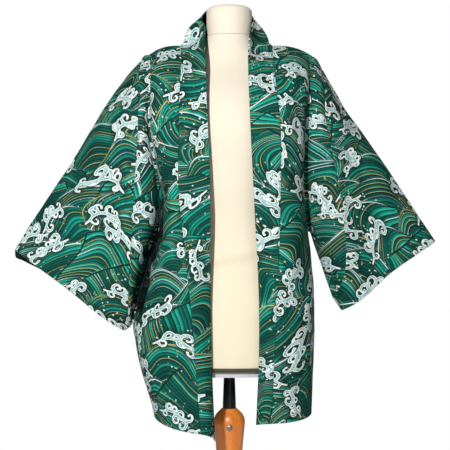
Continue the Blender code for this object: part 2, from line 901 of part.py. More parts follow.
def make_band(material, collection):
    fronts = {half.name: front_rows(half) for half in (RIGHT, LEFT)}
    back = back_grid()
    mesh = bmesh.new()
    rows = add_vertices(mesh, band_grid(fronts, back))
    grid_faces(mesh, rows)
    face_outwards(mesh, lambda place: Vector((place.x, place.y * 2, 0)))
    right = edge_normals(fronts["right"], 0, False)
    left = edge_normals(fronts["left"], 0, False)
    around = edge_normals(back[:FOLD_LAST], None, True)[len(ACROSS) : -len(ACROSS)]
    sewn = [row[0] for row in rows]
    given = zip(sewn, [*reversed(right), *around, *left])
    return cloth_object("collar_band", mesh, BAND, BAND_LIFT, material, collection, given)


def mesh_object(name, mesh, material, collection, smooth=True):
    bmesh.ops.recalc_face_normals(mesh, faces=mesh.faces)
    data = bpy.data.meshes.new(name)
    mesh.to_mesh(data)
    mesh.free()
    obj = bpy.data.objects.new(name, data)
    collection.objects.link(obj)
    data.materials.append(material)
    if smooth:
        data.shade_smooth()
        data.set_sharp_from_angle(angle=math.radians(40))
    return obj


def section_ring(section, inset=0):
    """A rounded-square oval, fuller in front or behind as the section says."""
    ring = []
    power = 2 / TORSO_SQUARENESS
    for k in range(TORSO_SIDES):
        angle = 2 * math.pi * k / TORSO_SIDES
        across, along = math.cos(angle), math.sin(angle)
        depth = section.back if along > 0 else -section.front
        x = math.copysign(abs(across) ** power, across) * (section.width - inset)
        y = math.copysign(abs(along) ** power, along) * (depth - inset)
        ring.append(Vector((x, y, section.height)))
    return ring


def make_loft(name, rings, material, collection):
    mesh = bmesh.new()
    rows = add_vertices(mesh, rings)
    grid_faces(mesh, rows, ring=True)
    mesh.faces.new(list(reversed(rows[0])))
    mesh.faces.new(rows[-1])
    return mesh_object(name, mesh, material, collection)


def make_torso(material, collection):
    return make_loft("form_torso", [section_ring(s) for s in TORSO], material, collection)


def make_board(material, collection):
    bottom = TORSO[0]
    top = bottom._replace(height=bottom.height - GAP)
    low = bottom._replace(height=bottom.height - GAP - BOARD_THICK)
    rings = [section_ring(low, BOARD_INSET), section_ring(top, BOARD_INSET)]
    return make_loft("form_board", rings, material, collection)


def turned_object(name, profile, material, collection, sides=ROUND_SIDES):
    """Turns a profile of (radius, height) pairs, listed top to bottom, round the Z axis."""
    mesh = bmesh.new()
    verts = [mesh.verts.new((radius * MM, 0, height * MM)) for radius, height in profile]
    for first, second in zip(verts, verts[1:]):
        mesh.edges.new((first, second))
    data = bpy.data.meshes.new(name)
    mesh.to_mesh(data)
    mesh.free()
    obj = bpy.data.objects.new(name, data)
    collection.objects.link(obj)
    data.materials.append(material)
    screw = obj.modifiers.new("turned", "SCREW")
    screw.steps = sides
    screw.render_steps = sides
    screw.use_merge_vertices = True
    screw.merge_threshold = 0.00001
    screw.use_smooth_shade = True
    return obj


def arc(centre_radius, centre_height, radius, start, end, steps):
    """Points of an arc in the profile plane; angles in degrees from straight out, upwards."""
    found = []
    for k in range(steps + 1):
        angle = math.radians(mix(start, end, k / steps))
        across = centre_radius + radius * math.cos(angle)
        found.append((across, centre_height + radius * math.sin(angle)))
    return found


def make_neck(material, collection):
    bottom = TORSO[-1].height + GAP
    rim = arc(NECK_RADIUS - NECK_ROUND, NECK_TOP - NECK_ROUND, NECK_ROUND, 90, 0, 5)
    profile = [(0, NECK_TOP), *rim, (NECK_RADIUS, bottom), (0, bottom)]
    return turned_object("form_neck", profile, material, collection)


def make_pole(material, collection):
    top = TORSO[0].height - BOARD_THICK - 2 * GAP
    bottom = HEAD_TOP - POLE_IN_HEAD
    profile = [
        (0, top),
        (POLE_TOP_RADIUS, top),
        (POLE_TOP_RADIUS, top - POLE_NECK),
        (POLE_RADIUS, HEAD_TOP + POLE_NECK),
        (POLE_RADIUS, bottom),
        (0, bottom),
    ]
    return turned_object("pole", profile, material, collection, sides=24)


def make_column(material, collection):
    bore = POLE_RADIUS + GAP
    floor = HEAD_TOP - POLE_IN_HEAD - GAP
    foot = BASE_THICK + GAP
    shoulder = [
        (HEAD_FLAT + (HEAD_RADIUS - HEAD_FLAT) * out, HEAD_TOP + HEAD_ROUND * (up - 1))
        for out, up in arc(0, 0, 1, 68, 0, 4)
    ]
    profile = [
        (0, floor),
        (bore, floor),
        (bore, HEAD_TOP - BORE_BEVEL),
        (bore + BORE_BEVEL, HEAD_TOP),
        (HEAD_FLAT, HEAD_TOP),
        *shoulder,
        *COLUMN,
        (COLUMN[-1].radius, foot),
        (0, foot),
    ]
    return turned_object("stand_column", profile, material, collection)


def make_base(material, collection):
    edge = arc(BASE_RADIUS - BASE_ROUND, BASE_THICK - BASE_ROUND, BASE_ROUND, 90, 0, 4)
    under = [(BASE_RADIUS, BASE_BEVEL), (BASE_RADIUS - BASE_BEVEL, 0), (0, 0)]
    profile = [(0, BASE_THICK), *edge, *under]
    return turned_object("stand_base", profile, material, collection, sides=40)


def make_screw(material, collection, cutters):
    """A round head with a crossed slot, on the front of the wooden head."""
    profile = [(0, SCREW_HEAD)]
    for step in range(1, SCREW_DOME_STEPS):
        share = step / SCREW_DOME_STEPS
        height = mix(SCREW_RIM, SCREW_HEAD, math.sqrt(1 - share * share))
        profile.append((SCREW_RADIUS * share, height))
    profile += [(SCREW_RADIUS, SCREW_RIM), (SCREW_RADIUS, 0), (0, 0)]
    obj = turned_object("stand_screw", profile, material, collection, sides=16)
    obj.rotation_euler = (math.radians(90), 0, 0)
    obj.location = Vector((0, -(HEAD_RADIUS + GAP), SCREW_HEIGHT)) * MM
    for k, turn in enumerate(SLOT_TURNS):
        bpy.ops.mesh.primitive_cube_add(size=1)
        slot = bpy.context.object
        slot.name = f"screw_slot_{k + 1}"
        slot.scale = Vector(SLOT) * MM
        slot.parent = obj
        slot.location = (0, 0, SCREW_HEAD * MM)
        slot.rotation_euler = (0, 0, math.radians(turn))
        slot.hide_render = True
        slot.display_type = "WIRE"
        for old in list(slot.users_collection):
            old.objects.unlink(slot)
        cutters.objects.link(slot)
        cut = obj.modifiers.new(slot.name, "BOOLEAN")
        cut.operation = "DIFFERENCE"
        cut.solver = "EXACT"
        cut.object = slot
    return obj


def main():
    clear_scene()
    collection = make_collection("haori on dress form")
    cutters = make_collection("cutters")
    cutters.hide_render = True
    materials = {name: make_material(name) for name in COLOURS}
    cotton = materials["haori cotton"]
    for half in (RIGHT, LEFT):
        make_front(half, cotton, collection)
        make_sleeve(half, cotton, collection)
    make_back(cotton, collection)
    make_band(cotton, collection)
    make_torso(materials["form cover"], collection)
    make_neck(materials["form cover"], collection)
    make_board(materials["form board"], collection)
    make_pole(materials["black steel"], collection)
    make_column(materials["varnished wood"], collection)
    make_base(materials["varnished wood"], collection)
    make_screw(materials["screw steel"], collection, cutters)


main()
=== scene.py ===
# %% [markdown]
# # A haori jacket on a dress form
# A haori is a short kimono jacket. It hangs open, with wide sleeves and a long folded collar band.
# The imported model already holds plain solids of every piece. Here each piece gets its real surface:
# thin cloth with creases and a printed pattern, a cloth-covered form, varnished wood and steel.

import json
import math
from collections import namedtuple
from types import SimpleNamespace

import bmesh
import bpy
import numpy as np
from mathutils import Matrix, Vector

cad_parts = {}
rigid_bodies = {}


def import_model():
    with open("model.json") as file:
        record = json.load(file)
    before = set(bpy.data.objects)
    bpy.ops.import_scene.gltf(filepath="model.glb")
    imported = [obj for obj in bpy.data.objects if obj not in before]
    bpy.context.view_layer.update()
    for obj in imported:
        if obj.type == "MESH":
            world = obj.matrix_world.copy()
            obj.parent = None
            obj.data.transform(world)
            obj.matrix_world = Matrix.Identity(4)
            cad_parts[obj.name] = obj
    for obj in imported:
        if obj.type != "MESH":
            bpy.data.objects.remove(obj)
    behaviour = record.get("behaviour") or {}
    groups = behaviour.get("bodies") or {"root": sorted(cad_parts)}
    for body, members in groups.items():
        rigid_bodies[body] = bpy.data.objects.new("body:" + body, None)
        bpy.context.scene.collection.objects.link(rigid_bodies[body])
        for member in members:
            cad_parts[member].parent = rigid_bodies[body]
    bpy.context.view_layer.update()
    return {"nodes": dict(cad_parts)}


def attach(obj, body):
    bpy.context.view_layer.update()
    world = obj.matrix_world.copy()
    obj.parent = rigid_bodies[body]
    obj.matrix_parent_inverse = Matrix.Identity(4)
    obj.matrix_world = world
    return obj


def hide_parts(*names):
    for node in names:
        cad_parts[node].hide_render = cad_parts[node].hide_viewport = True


for obj in list(bpy.data.objects):
    bpy.data.objects.remove(obj, do_unlink=True)
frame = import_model()
MM = 0.001
print("nodes:", ", ".join(sorted(frame["nodes"])))

# %% [markdown]
# ## How the cloth hangs
# The jacket is cut from flat panels: two fronts, a back, two sleeves and a collar band. Worn, it
# hangs in a few large folds, the deepest between body and sleeve. One could drape it with a cloth
# simulation, but its hang is known, so short tables in millimetres give it directly: where the
# seams, folds and edges run at a few heights. Smooth curves fill in what lies between.

# %% Tables of seams and folds, in millimetres
# Shares of the way down an armhole, across a front, round the neck and out along a sleeve
DOWN = (0.03, 0.08, 0.14, 0.21, 0.3, 0.4, 0.5, 0.6, 0.7, 0.8, 0.89, 0.96)
ACROSS = (0.0, 0.22, 0.46, 0.7, 0.88, 0.97, 1.0)
NECK_ACROSS = (0.93, 0.79, 0.54, 0.27)
NECK_DEPTH = (0.13, 0.4, 0.76, 0.95)
SLEEVE_ALONG = (0.1, 0.24, 0.4, 0.56, 0.72, 0.87, 1.0)
LOWER_ROWS = 6  # rows from the underarm to the hem
SIDE_ROUNDNESS = 2.3  # power of the oval by which front and back curve round the side

Edge = namedtuple("Edge", "height side depth")
Fold = namedtuple("Fold", "height side front back floor")
Seam = namedtuple("Seam", "height side front back")
Rail = namedtuple("Rail", "share side height")
Side = namedtuple("Side", "height side")


def table(kind, *rows):
    return tuple(kind(*row) for row in rows)


# %% [markdown]
# ### The two halves
# The halves hang differently, so each has its own tables. corner_rise is how far the cloth rounds up
# past the shoulder tip, and neck_rise gives shares of the way from the band's corner up to the middle
# of the back neck.

# %% The wearer's right half
RIGHT = SimpleNamespace(
    name="right",
    sign=-1,
    ridge=Edge(1397, 175, 8),
    corner_rise=6,
    neck_rise=(0.16, 0.48, 0.82, 0.97),
    underarm=Edge(802, 211, 0),
    hem_front=585,
    hem_side=612,
    # Where the collar band is sewn on, from the neck down
    band_seam=table(
        Edge, (1416, 107, 4), (1353, 103, -71), (1301, 105, -110), (1213, 106, -134), (1107, 107, -137),
        (999, 97, -140), (872, 83, -145), (736, 71, -150), (585, 60, -148),
    ),
    # The free edge of the collar band beside it
    band_edge=table(
        Edge, (1457, 54, -14), (1432, 53, -42), (1370, 51, -90), (1260, 47, -130), (1155, 42, -134),
        (1019, 40, -132), (862, 40, -128), (716, 37, -124), (651, 35, -112), (563, 31, -100),
    ),
    # The deep fold between body and sleeve
    fold=table(
        Fold, (1397, 175, 8, 8, 3), (1354, 171, -42, 44, 3), (1223, 169, -62, 74, 4),
        (1116, 151, -52, 72, 5), (1041, 147, -34, 58, 6), (975, 161, -14, 44, 13),
        (910, 182, -12, 34, 13), (855, 197, -10, 22, 10), (802, 211, -3, 4, 4),
    ),
    armhole=table(
        Seam, (1381, 196, 8, 8), (1316, 197, -52, 48), (1220, 196, -75, 70), (1128, 202, -80, 76),
        (1013, 208, -75, 74), (931, 215, -64, 64), (846, 220, -38, 42), (807, 221, -18, 20),
        (792, 221, 0, 0),
    ),
    body_side=table(
        Side, (802, 211), (782, 207), (735, 200), (687, 188), (641, 173), (612, 166),
    ),
    sleeve_top=table(
        Rail, (0.0, 196, 1381), (0.16, 239, 1332), (0.3, 281, 1267), (0.55, 348, 1156),
        (0.84, 429, 1035), (1.0, 471, 965),
    ),
    cuff_top=Edge(965, 471, 0),
    cuff_bottom=Edge(787, 231, 0),
    cuff_front=30,
    cuff_back=36,
    cuff_inside_shows=15,
    cuff_sway=2.5,
)

print("rows in the right half's deep fold:", len(RIGHT.fold))

# %% The wearer's left half
LEFT = SimpleNamespace(
    name="left",
    sign=1,
    ridge=Edge(1397, 176, 8),
    corner_rise=8,
    neck_rise=(0.1, 0.38, 0.76, 0.95),
    underarm=Edge(1006, 172, 0),
    hem_front=607,
    hem_side=613,
    band_seam=table(
        Edge, (1416, 94, 4), (1352, 96, -72), (1301, 100, -110), (1213, 107, -134), (1061, 106, -138),
        (934, 102, -142), (864, 99, -145), (781, 95, -148), (678, 90, -150), (607, 87, -148),
    ),
    band_edge=table(
        Edge, (1457, 50, -26), (1432, 44, -48), (1370, 40, -92), (1260, 42, -130), (1155, 47, -134),
        (1019, 54, -132), (862, 62, -128), (716, 62, -124), (673, 60, -116), (597, 57, -102),
    ),
    fold=table(
        Fold, (1397, 176, 8, 8, 3), (1343, 174, -44, 46, 4), (1288, 169, -58, 64, 4),
        (1223, 163, -60, 72, 4), (1095, 161, -44, 58, 4), (1030, 166, -18, 24, 4),
        (1006, 172, -3, 4, 5),
    ),
    armhole=table(
        Seam, (1363, 205, 8, 8), (1322, 207, -38, 38), (1244, 208, -64, 60), (1190, 217, -74, 70),
        (1115, 232, -79, 74), (1019, 246, -74, 70), (966, 251, -64, 60), (911, 248, -44, 42),
        (874, 236, -18, 18), (857, 228, 0, 0),
    ),
    body_side=table(
        Side, (1006, 172), (956, 178), (894, 183), (830, 186), (766, 185), (705, 183), (614, 180),
    ),
    sleeve_top=table(
        Rail, (0.0, 205, 1363), (0.14, 240, 1303), (0.26, 270, 1255), (0.6, 350, 1141),
        (0.8, 401, 1063), (1.0, 453, 984),
    ),
    cuff_top=Edge(984, 453, 0),
    cuff_bottom=Edge(832, 247, 0),
    cuff_front=30,
    cuff_back=34,
    cuff_inside_shows=0,
    cuff_sway=5,
)

print("rows in the left half's deep fold:", len(LEFT.fold))

# %% The back and the edge round the neck
# The back's middle line, and how far back its shoulders stand
BACK_HEM = 674
BACK_MIDDLE = table(
    Edge, (1451, 0, 82), (1400, 0, 102), (1330, 0, 118), (1250, 0, 122), (1100, 0, 118), (1000, 0, 122),
    (850, 0, 134), (674, 0, 134),
)
BACK_SHOULDER = table(
    Edge, (1416, 0, 8), (1400, 0, 36), (1378, 0, 62), (1350, 0, 86), (1300, 0, 110), (1250, 0, 122),
    (1100, 0, 118), (1000, 0, 122), (850, 0, 134), (674, 0, 134),
)
SHOULDER_FADE = 140  # height over which a row's shoulder slope dies out
BACK_FOLD = 7  # depth of the back's hanging folds at the hem
BACK_FOLD_WIDTH = 92
SHOULDER_POWER = 2.8  # how late the shoulder line falls towards its tip

# The band's free edge round the back of the neck, from the wearer's right to left
NeckEdge = namedtuple("NeckEdge", "half side depth height stiff")
NECK_SIDES = {"right": -1, "middle": 0, "left": 1}
BAND_NECK_EDGE = table(
    NeckEdge, ("right", 59, 2, 1468, 0.5), ("right", 58, 22, 1484, 0.5), ("right", 48, 42, 1500, 0.45),
    ("right", 25, 56, 1510, 0.4), ("middle", 0, 62, 1514, 0.4), ("left", 25, 55, 1508, 0.3),
    ("left", 43, 40, 1495, 0.2), ("left", 51, 20, 1481, 0.15), ("left", 54, -3, 1468, 0.3),
)
BAND_ROUND = (0.0, 0.2, 0.42, 0.66, 0.85, 1.0)
BAND_TURN = 0.3  # how much a step forwards counts, beside a step down, along its length
BAND_STIFF = 0.42  # share of its width over which the band keeps the panel's direction
print("points round the neck:", len(BAND_NECK_EDGE))


# %% [markdown]
# ## From tables to control points
# A garment maker thinks in seams. Each function below walks down one of them, such as the armhole,
# and gives a point for each share of its length. The panels are then rows of points from seam to
# seam. A few hundred control points are enough, because they are smoothed later.

# %% Reading a table smoothly
def mix(a, b, t):
    return a + (b - a) * t


def hermite(a, b, slope_a, slope_b, t):
    square, cube = t * t, t * t * t
    return (
        (2 * cube - 3 * square + 1) * a
        + (cube - 2 * square + t) * slope_a
        + (3 * square - 2 * cube) * b
        + (cube - square) * slope_b
    )


def read_table(rows, value, key="height"):
    """The row at a height or share, on a smooth curve through a table."""
    sign = -1 if key == "height" else 1
    low, high = sorted((getattr(rows[0], key), getattr(rows[-1], key)))
    value = min(max(value, low), high)
    k = next(k for k in range(1, len(rows)) if sign * getattr(rows[k], key) >= sign * value)
    around = [rows[max(k - 2, 0)], rows[k - 1], rows[k], rows[min(k + 1, len(rows) - 1)]]
    at = [getattr(row, key) for row in around]
    span = at[2] - at[1]
    found = {key: value}
    for name in rows[0]._fields:
        if name != key:
            y = [getattr(row, name) for row in around]
            slope_a = (y[2] - y[0]) / (at[2] - at[0]) * span
            slope_b = (y[3] - y[1]) / (at[3] - at[1]) * span
            found[name] = hermite(y[1], y[2], slope_a, slope_b, (value - at[1]) / span)
    return type(rows[0])(**found)


def quarter_round(t, power=SIDE_ROUNDNESS):
    """0 at t=0 and 1 at t=1, flat at first and upright at the end, like a quarter of an oval."""
    return 1 - (1 - min(t, 1.0) ** power) ** (1 / power)


def point(half, side, depth, height):
    return Vector((half.sign * side, depth, height))


def fade(drop):
    t = min(max(drop / SHOULDER_FADE, 0), 1)
    return 1 - t * t * (3 - 2 * t)


def shifted(row, depth):
    return [Vector((place.x, depth, place.z)) for place in row]


def toward(layer):
    return -1 if layer == "front" else 1


print("reads a height of 1200 mm:", read_table(RIGHT.fold, 1200))

# %% [markdown]
# ## Seams and folds
# The deep fold runs from the shoulder to the underarm, where body and sleeve part. The armhole
# seam lies outside it, and the cuff is the sleeve's open end. Front and back layers share the
# same tables, one bulging forwards and one backwards.

# %% Points down the fold, the armhole and the cuff
SHARES = (0.0, *DOWN, 1.0)
# Shares of the way out beyond the fold, each with its share of the depth and its extra swell
WING_ACROSS = ((0.14, 0.6, 0), (0.4, 0.93, 2), (0.72, 1.0, 4))
FLOOR_SLOPE = 0.6  # how far the fold's floor drops, beside its width
CUFF_WAVE = 1.6  # puts the cuff's sway nearer its lower end
INSIDE_SHARE = 0.42  # how far down the cuff its inside shows
INSIDE_START = 0.02  # and how soon it begins to
CORNER_SKEW, CORNER_ROWS = 1.3, 3  # where the shoulder's rise peaks, and the rows that have it
FULL_SWELL = 60  # an armhole this deep has the whole swell beside it


def down(rows):
    """A table's row at each share of the way down it."""
    return [read_table(rows, mix(rows[0].height, rows[-1].height, share)) for share in SHARES]


def seam_rows(half, rows, layer):
    """Points down a seam or fold; its front and back layers meet at the lowest one."""
    placed = [point(half, row.side, getattr(row, layer), row.height) for row in down(rows)]
    placed[-1].y = 0
    return placed


def cuff_rows(half, layer):
    depth = half.cuff_front if layer == "front" else half.cuff_back
    top, bottom = half.cuff_top, half.cuff_bottom
    first = point(half, top.side, 0, top.height)
    last = point(half, bottom.side, 0, bottom.height)
    chord = (first - last).normalized()
    outward = Vector((half.sign * abs(chord.z), 0, -abs(chord.x)))
    rows = []
    for share in SHARES:
        place = first.lerp(last, share)
        place.y = toward(layer) * depth * math.sqrt(max(1 - (2 * share - 1) ** 2, 0))
        place -= outward * half.cuff_sway * math.sin(2 * math.pi * share**CUFF_WAVE)
        if layer == "back":
            longer = max(1 - share / INSIDE_SHARE, 0) * min(share / INSIDE_START, 1)
            place += outward * half.cuff_inside_shows * longer
        rows.append(place)
    return rows


def wing_grid(half, layer):
    """The cloth between the deep fold and the armhole seam."""
    grid = []
    fold, armhole = seam_rows(half, half.fold, layer), seam_rows(half, half.armhole, layer)
    for k, (start, end, row) in enumerate(zip(fold, armhole, down(half.fold))):
        floor = start + Vector((half.sign * row.floor, 0, -row.floor * FLOOR_SLOPE))
        across = [start, floor]
        for out, rise, swell in WING_ACROSS:
            place = floor.lerp(end, out)
            place.y = mix(start.y, end.y, rise) + toward(layer) * swell * min(abs(end.y) / FULL_SWELL, 1)
            place.z += half.corner_rise * math.sin(math.pi * out**CORNER_SKEW) * max(1 - k / CORNER_ROWS, 0)
            across.append(place)
        grid.append([*across, end])
    grid[0] = shifted(grid[0], half.ridge.depth)
    grid[-1] = shifted(grid[-1], 0)
    return grid


print("points down an armhole:", len(seam_rows(LEFT, LEFT.armhole, "front")))

# %% [markdown]
# ## Fronts and back
# A front runs from the collar band to the deep fold, and below the underarm to the side seam. The
# back does the same on both sides at once. Both curve round the side of the figure like a quarter
# of an oval, and near the shoulders their rows slope.

# %% Points of the body panels
LATE_FALL = 3  # below the underarm the back's rows fall late, near the sides
FOLDS_END = 6  # and their hanging folds die out there


def hem_fall(share):
    return (share + quarter_round(share)) / 2


def front_row(half, seam, end, fall):
    row = []
    for share in ACROSS:
        side = mix(seam.side, abs(end.x), share)
        depth = mix(seam.depth, end.y, quarter_round(share))
        row.append(point(half, side, depth, mix(seam.height, end.z, fall(share))))
    return row


def lower_heights(half):
    return [mix(half.underarm.height, half.hem_side, (k + 1) / LOWER_ROWS) for k in range(LOWER_ROWS)]


def front_grid(half):
    neck_rise = half.band_seam[0].height - half.ridge.height
    rows = []
    for place in seam_rows(half, half.fold, "front"):
        rise = neck_rise * fade(half.ridge.height - place.z)
        seam = read_table(half.band_seam, place.z + rise)
        rows.append(front_row(half, seam, place, lambda share: share**SHOULDER_POWER))
    rows[0] = shifted(rows[0], half.ridge.depth)
    start = rows[-1][0].z
    for k, height in enumerate(lower_heights(half), 1):
        seam = read_table(half.band_seam, mix(start, half.hem_front, k / LOWER_ROWS))
        side = read_table(half.body_side, height).side
        rows.append(front_row(half, seam, point(half, side, 0, height), hem_fall))
    return rows


def back_wave(across, low):
    return BACK_FOLD * low * math.cos(across / BACK_FOLD_WIDTH * 2 * math.pi)


def back_point(half, end, side, middle, rise, neck_share, low):
    share = side / abs(end.x)
    height = mix(middle, end.z, share ** mix(1, LATE_FALL, min(low * 4, 1))) + rise
    shoulder = read_table(BACK_SHOULDER, height).depth
    full = mix(shoulder, read_table(BACK_MIDDLE, height).depth, neck_share)
    depth = mix(full, end.y, quarter_round(share))
    depth += back_wave(half.sign * side, low) * (1 - share**FOLDS_END)
    return point(half, side, depth, height)


def back_half(half, end, middle, near_top, low):
    neck = half.band_seam[0]
    corner_rise = near_top * (neck.height - half.ridge.height)
    middle_rise = near_top * (BACK_MIDDLE[0].height - half.ridge.height)
    inner = abs(end.x) * neck.side / half.ridge.side
    row = []
    for share in reversed(ACROSS):
        side = mix(inner, abs(end.x), share)
        rise = corner_rise * (1 - share**SHOULDER_POWER)
        row.append(back_point(half, end, side, middle, rise, 0, low))
    for across, depth_share, rise_share in zip(NECK_ACROSS, NECK_DEPTH, half.neck_rise):
        rise = mix(corner_rise, middle_rise, rise_share)
        row.append(back_point(half, end, inner * across, middle, rise, depth_share, low))
    return row


def back_row(ends, middle, near_top, low):
    right = back_half(RIGHT, ends["right"], middle, near_top, low)
    left = back_half(LEFT, ends["left"], middle, near_top, low)
    rise = near_top * (BACK_MIDDLE[0].height - (RIGHT.ridge.height + LEFT.ridge.height) / 2)
    depth = read_table(BACK_MIDDLE, middle + rise).depth + back_wave(0, low)
    return [*right, Vector((0, depth, middle + rise)), *reversed(left)]


def back_grid():
    folds = {half.name: seam_rows(half, half.fold, "back") for half in (RIGHT, LEFT)}
    top = (RIGHT.ridge.height + LEFT.ridge.height) / 2
    grid = []
    for k in range(len(SHARES)):
        ends = {name: rows[k] for name, rows in folds.items()}
        middle = (ends["right"].z + ends["left"].z) / 2
        grid.append(back_row(ends, middle, fade(top - middle), 0))
    grid[0] = shoulder_line(grid[0])
    start = grid[-1][len(grid[-1]) // 2].z
    for k in range(LOWER_ROWS):
        ends = {}
        for half in (RIGHT, LEFT):
            height = lower_heights(half)[k]
            ends[half.name] = point(half, read_table(half.body_side, height).side, 0, height)
        share = (k + 1) / LOWER_ROWS
        grid.append(back_row(ends, mix(start, BACK_HEM, share), 0, share))
    return grid


def shoulder_line(row):
    """The back's first row, brought to the shoulder seam and round the neck."""
    corner = len(ACROSS)
    placed = []
    for j, place in enumerate(row):
        near = min(j, len(row) - 1 - j)
        half = RIGHT if j < len(row) / 2 else LEFT
        if near < corner:
            fall = 1 - ACROSS[-1 - near] ** SHOULDER_POWER
            height = mix(half.ridge.height, half.band_seam[0].height, fall)
            placed.append(Vector((place.x, half.ridge.depth, height)))
        else:
            share = (*NECK_DEPTH, 1.0)[near - corner]
            depth = mix(half.ridge.depth, BACK_MIDDLE[0].depth, share)
            placed.append(Vector((place.x, depth, place.z)))
    return placed


print("back:", len(back_grid()), "rows of", len(back_grid()[0]), "points")

# %% [markdown]
# ## Sleeves and collar band
# A sleeve is a flat tube from the armhole to the cuff, so its points form rings. The collar band
# is sewn to the fronts and round the neck, leaves them flat, and then turns to its free edge.

# %% Points of the sleeves and the band
TOP_LIFT = 1.5  # how soon the rise along a sleeve's top dies out downwards
HANDLE = 3  # shortest stretch over which the band keeps the panel's direction


def sleeve_grid(half):
    """Closed rings: down the front layer and up the back one."""
    layers = []
    for layer in ("front", "back"):
        armhole, cuff = seam_rows(half, half.armhole, layer), cuff_rows(half, layer)
        columns = []
        for share, start, end in zip(SHARES, armhole, cuff):
            column = [start]
            for along in SLEEVE_ALONG:
                rail = read_table(half.sleeve_top, along, "share")
                straight = armhole[0].lerp(cuff[0], along)
                lift = point(half, rail.side, straight.y, rail.height) - straight
                column.append(start.lerp(end, along) + lift * (1 - share) ** TOP_LIFT)
            columns.append(column)
        layers.append(columns)
    front, back = layers
    return [
        [*(column[j] for column in front), *(column[j] for column in reversed(back[1:-1]))]
        for j in range(len(SLEEVE_ALONG) + 1)
    ]


def free_edge(half, edge):
    """The band's free edge beside a point of its seam."""
    seam, free = half.band_seam, half.band_edge
    run = seam[0].height - edge.z + BAND_TURN * (half.ridge.depth - edge.y)
    whole = seam[0].height - seam[-1].height + BAND_TURN * (half.ridge.depth - seam[-1].depth)
    row = read_table(free, mix(free[0].height, free[-1].height, min(run / whole, 1)))
    return point(half, row.side, row.depth, row.height)


def band_section(edge, direction, free, stiff=BAND_STIFF):
    direction = direction.normalized()
    handle = edge + direction * (HANDLE + (free - edge).length * stiff)
    return [edge * (1 - t) ** 2 + handle * 2 * t * (1 - t) + free * t * t for t in BAND_ROUND]


def band_grid(right, left, back):
    corner = len(ACROSS)
    last = len(back[0]) - corner
    rows = []
    for row in reversed(right):
        rows.append(band_section(row[0], row[0] - row[1], free_edge(RIGHT, row[0])))
    for j, free in zip(range(corner, last), BAND_NECK_EDGE):
        place = Vector((NECK_SIDES[free.half] * free.side, free.depth, free.height))
        rows.append(band_section(back[0][j], back[0][j] - back[1][j], place, free.stiff))
    for row in left:
        rows.append(band_section(row[0], row[0] - row[1], free_edge(LEFT, row[0])))
    return rows


print("sleeve:", len(sleeve_grid(LEFT)), "rings of", len(sleeve_grid(LEFT)[0]), "points")

# %% [markdown]
# ## Flattening and smoothing
# A printed pattern lies on the flat cloth, not on the draped shape. So each panel's control points
# are laid out flat first: they start at their place seen from the front, and springs of the true
# lengths push them apart, as a pattern cutter would press a drape flat. Then smooth curves through
# the points give a fine surface, with the flat coordinates carried along.

# %% Flatten a panel, and refine its points
INSIDE_STEP = 3  # the inside of a shell has every third point
FLATTEN_STEPS = 500
FLATTEN_PUSH = 1.6  # over 1, so that the springs settle sooner


def flatten(grid, ring=False):
    """Adds each control point's place on the flat cloth, in millimetres, as two more columns."""
    space = np.array([[list(place) for place in row] for row in grid])
    rows, cols = space.shape[:2]
    index = np.arange(rows * cols).reshape(rows, cols)
    if ring:
        index = np.concatenate([index, index[:, :1]], axis=1)
    links = (
        (index[:-1], index[1:]),
        (index[:, :-1], index[:, 1:]),
        (index[:-1, :-1], index[1:, 1:]),
        (index[:-1, 1:], index[1:, :-1]),
    )
    first, second = (np.concatenate([link[end].ravel() for link in links]) for end in (0, 1))
    points, flat = space.reshape(-1, 3), space[..., [0, 2]].reshape(-1, 2)
    rest = np.linalg.norm(points[first] - points[second], axis=1)
    share = np.bincount(first, minlength=len(points)) + np.bincount(second, minlength=len(points))
    for _ in range(FLATTEN_STEPS):
        gap = flat[second] - flat[first]
        length = np.maximum(np.linalg.norm(gap, axis=1), 1e-6)
        push = gap * (0.5 * (1 - rest / length))[:, None]
        move = np.zeros_like(flat)
        np.add.at(move, first, push)
        np.add.at(move, second, -push)
        flat += move / share[:, None] * FLATTEN_PUSH
    return np.concatenate([space, flat.reshape(rows, cols, 2)], axis=2)


def refine_rows(grid, spacing, ring=False):
    if ring:
        grid = np.concatenate([grid[-2:], grid, grid[:3]])
    chord = np.linalg.norm(np.diff(grid[..., :3], axis=0), axis=2).mean(axis=1)
    chord = np.maximum(chord, 1e-3)
    wide = chord[:, None, None]
    secant = np.diff(grid, axis=0) / wide
    inner = (secant[:-1] * wide[1:] + secant[1:] * wide[:-1]) / (wide[:-1] + wide[1:])
    slope = np.concatenate([secant[:1], inner, secant[-1:]])
    first, last = (2, len(grid) - 3) if ring else (0, len(grid) - 1)
    rows = []
    for k in range(first, last):
        span = chord[k]
        steps = INSIDE_STEP * max(1, round(span / spacing / INSIDE_STEP))
        t = (np.arange(steps) / steps)[:, None, None]
        rows.append(hermite(grid[k], grid[k + 1], slope[k] * span, slope[k + 1] * span, t))
    return np.concatenate([*rows, grid[last : last + 1]])


def refine(grid, spacing, ring=False):
    """A finer grid through the same points, in both directions."""
    finer = refine_rows(grid, spacing)
    return refine_rows(finer.swapaxes(0, 1), spacing, ring).swapaxes(0, 1)


flat_sleeve = flatten(sleeve_grid(LEFT), ring=True)
print("a sleeve's points with their flat places:", flat_sleeve.shape)

# %% [markdown]
# ## The printed waves
# The cotton carries a traditional Japanese pattern, rough waves: overlapping swells, each combed
# with stripes, whose crests break into white foam with curling claws, and flecks of spray. One
# could paint an image, but a drawing in code stays sharp at any size. Each swell is a hump laid over
# the ones behind it, like scales. For every point of the cloth the drawing notes a few plain
# distances: how many stripes down its swell it lies, and how far it is from crest, foam and spray.
# The material later turns these distances into colours with crisp edges.

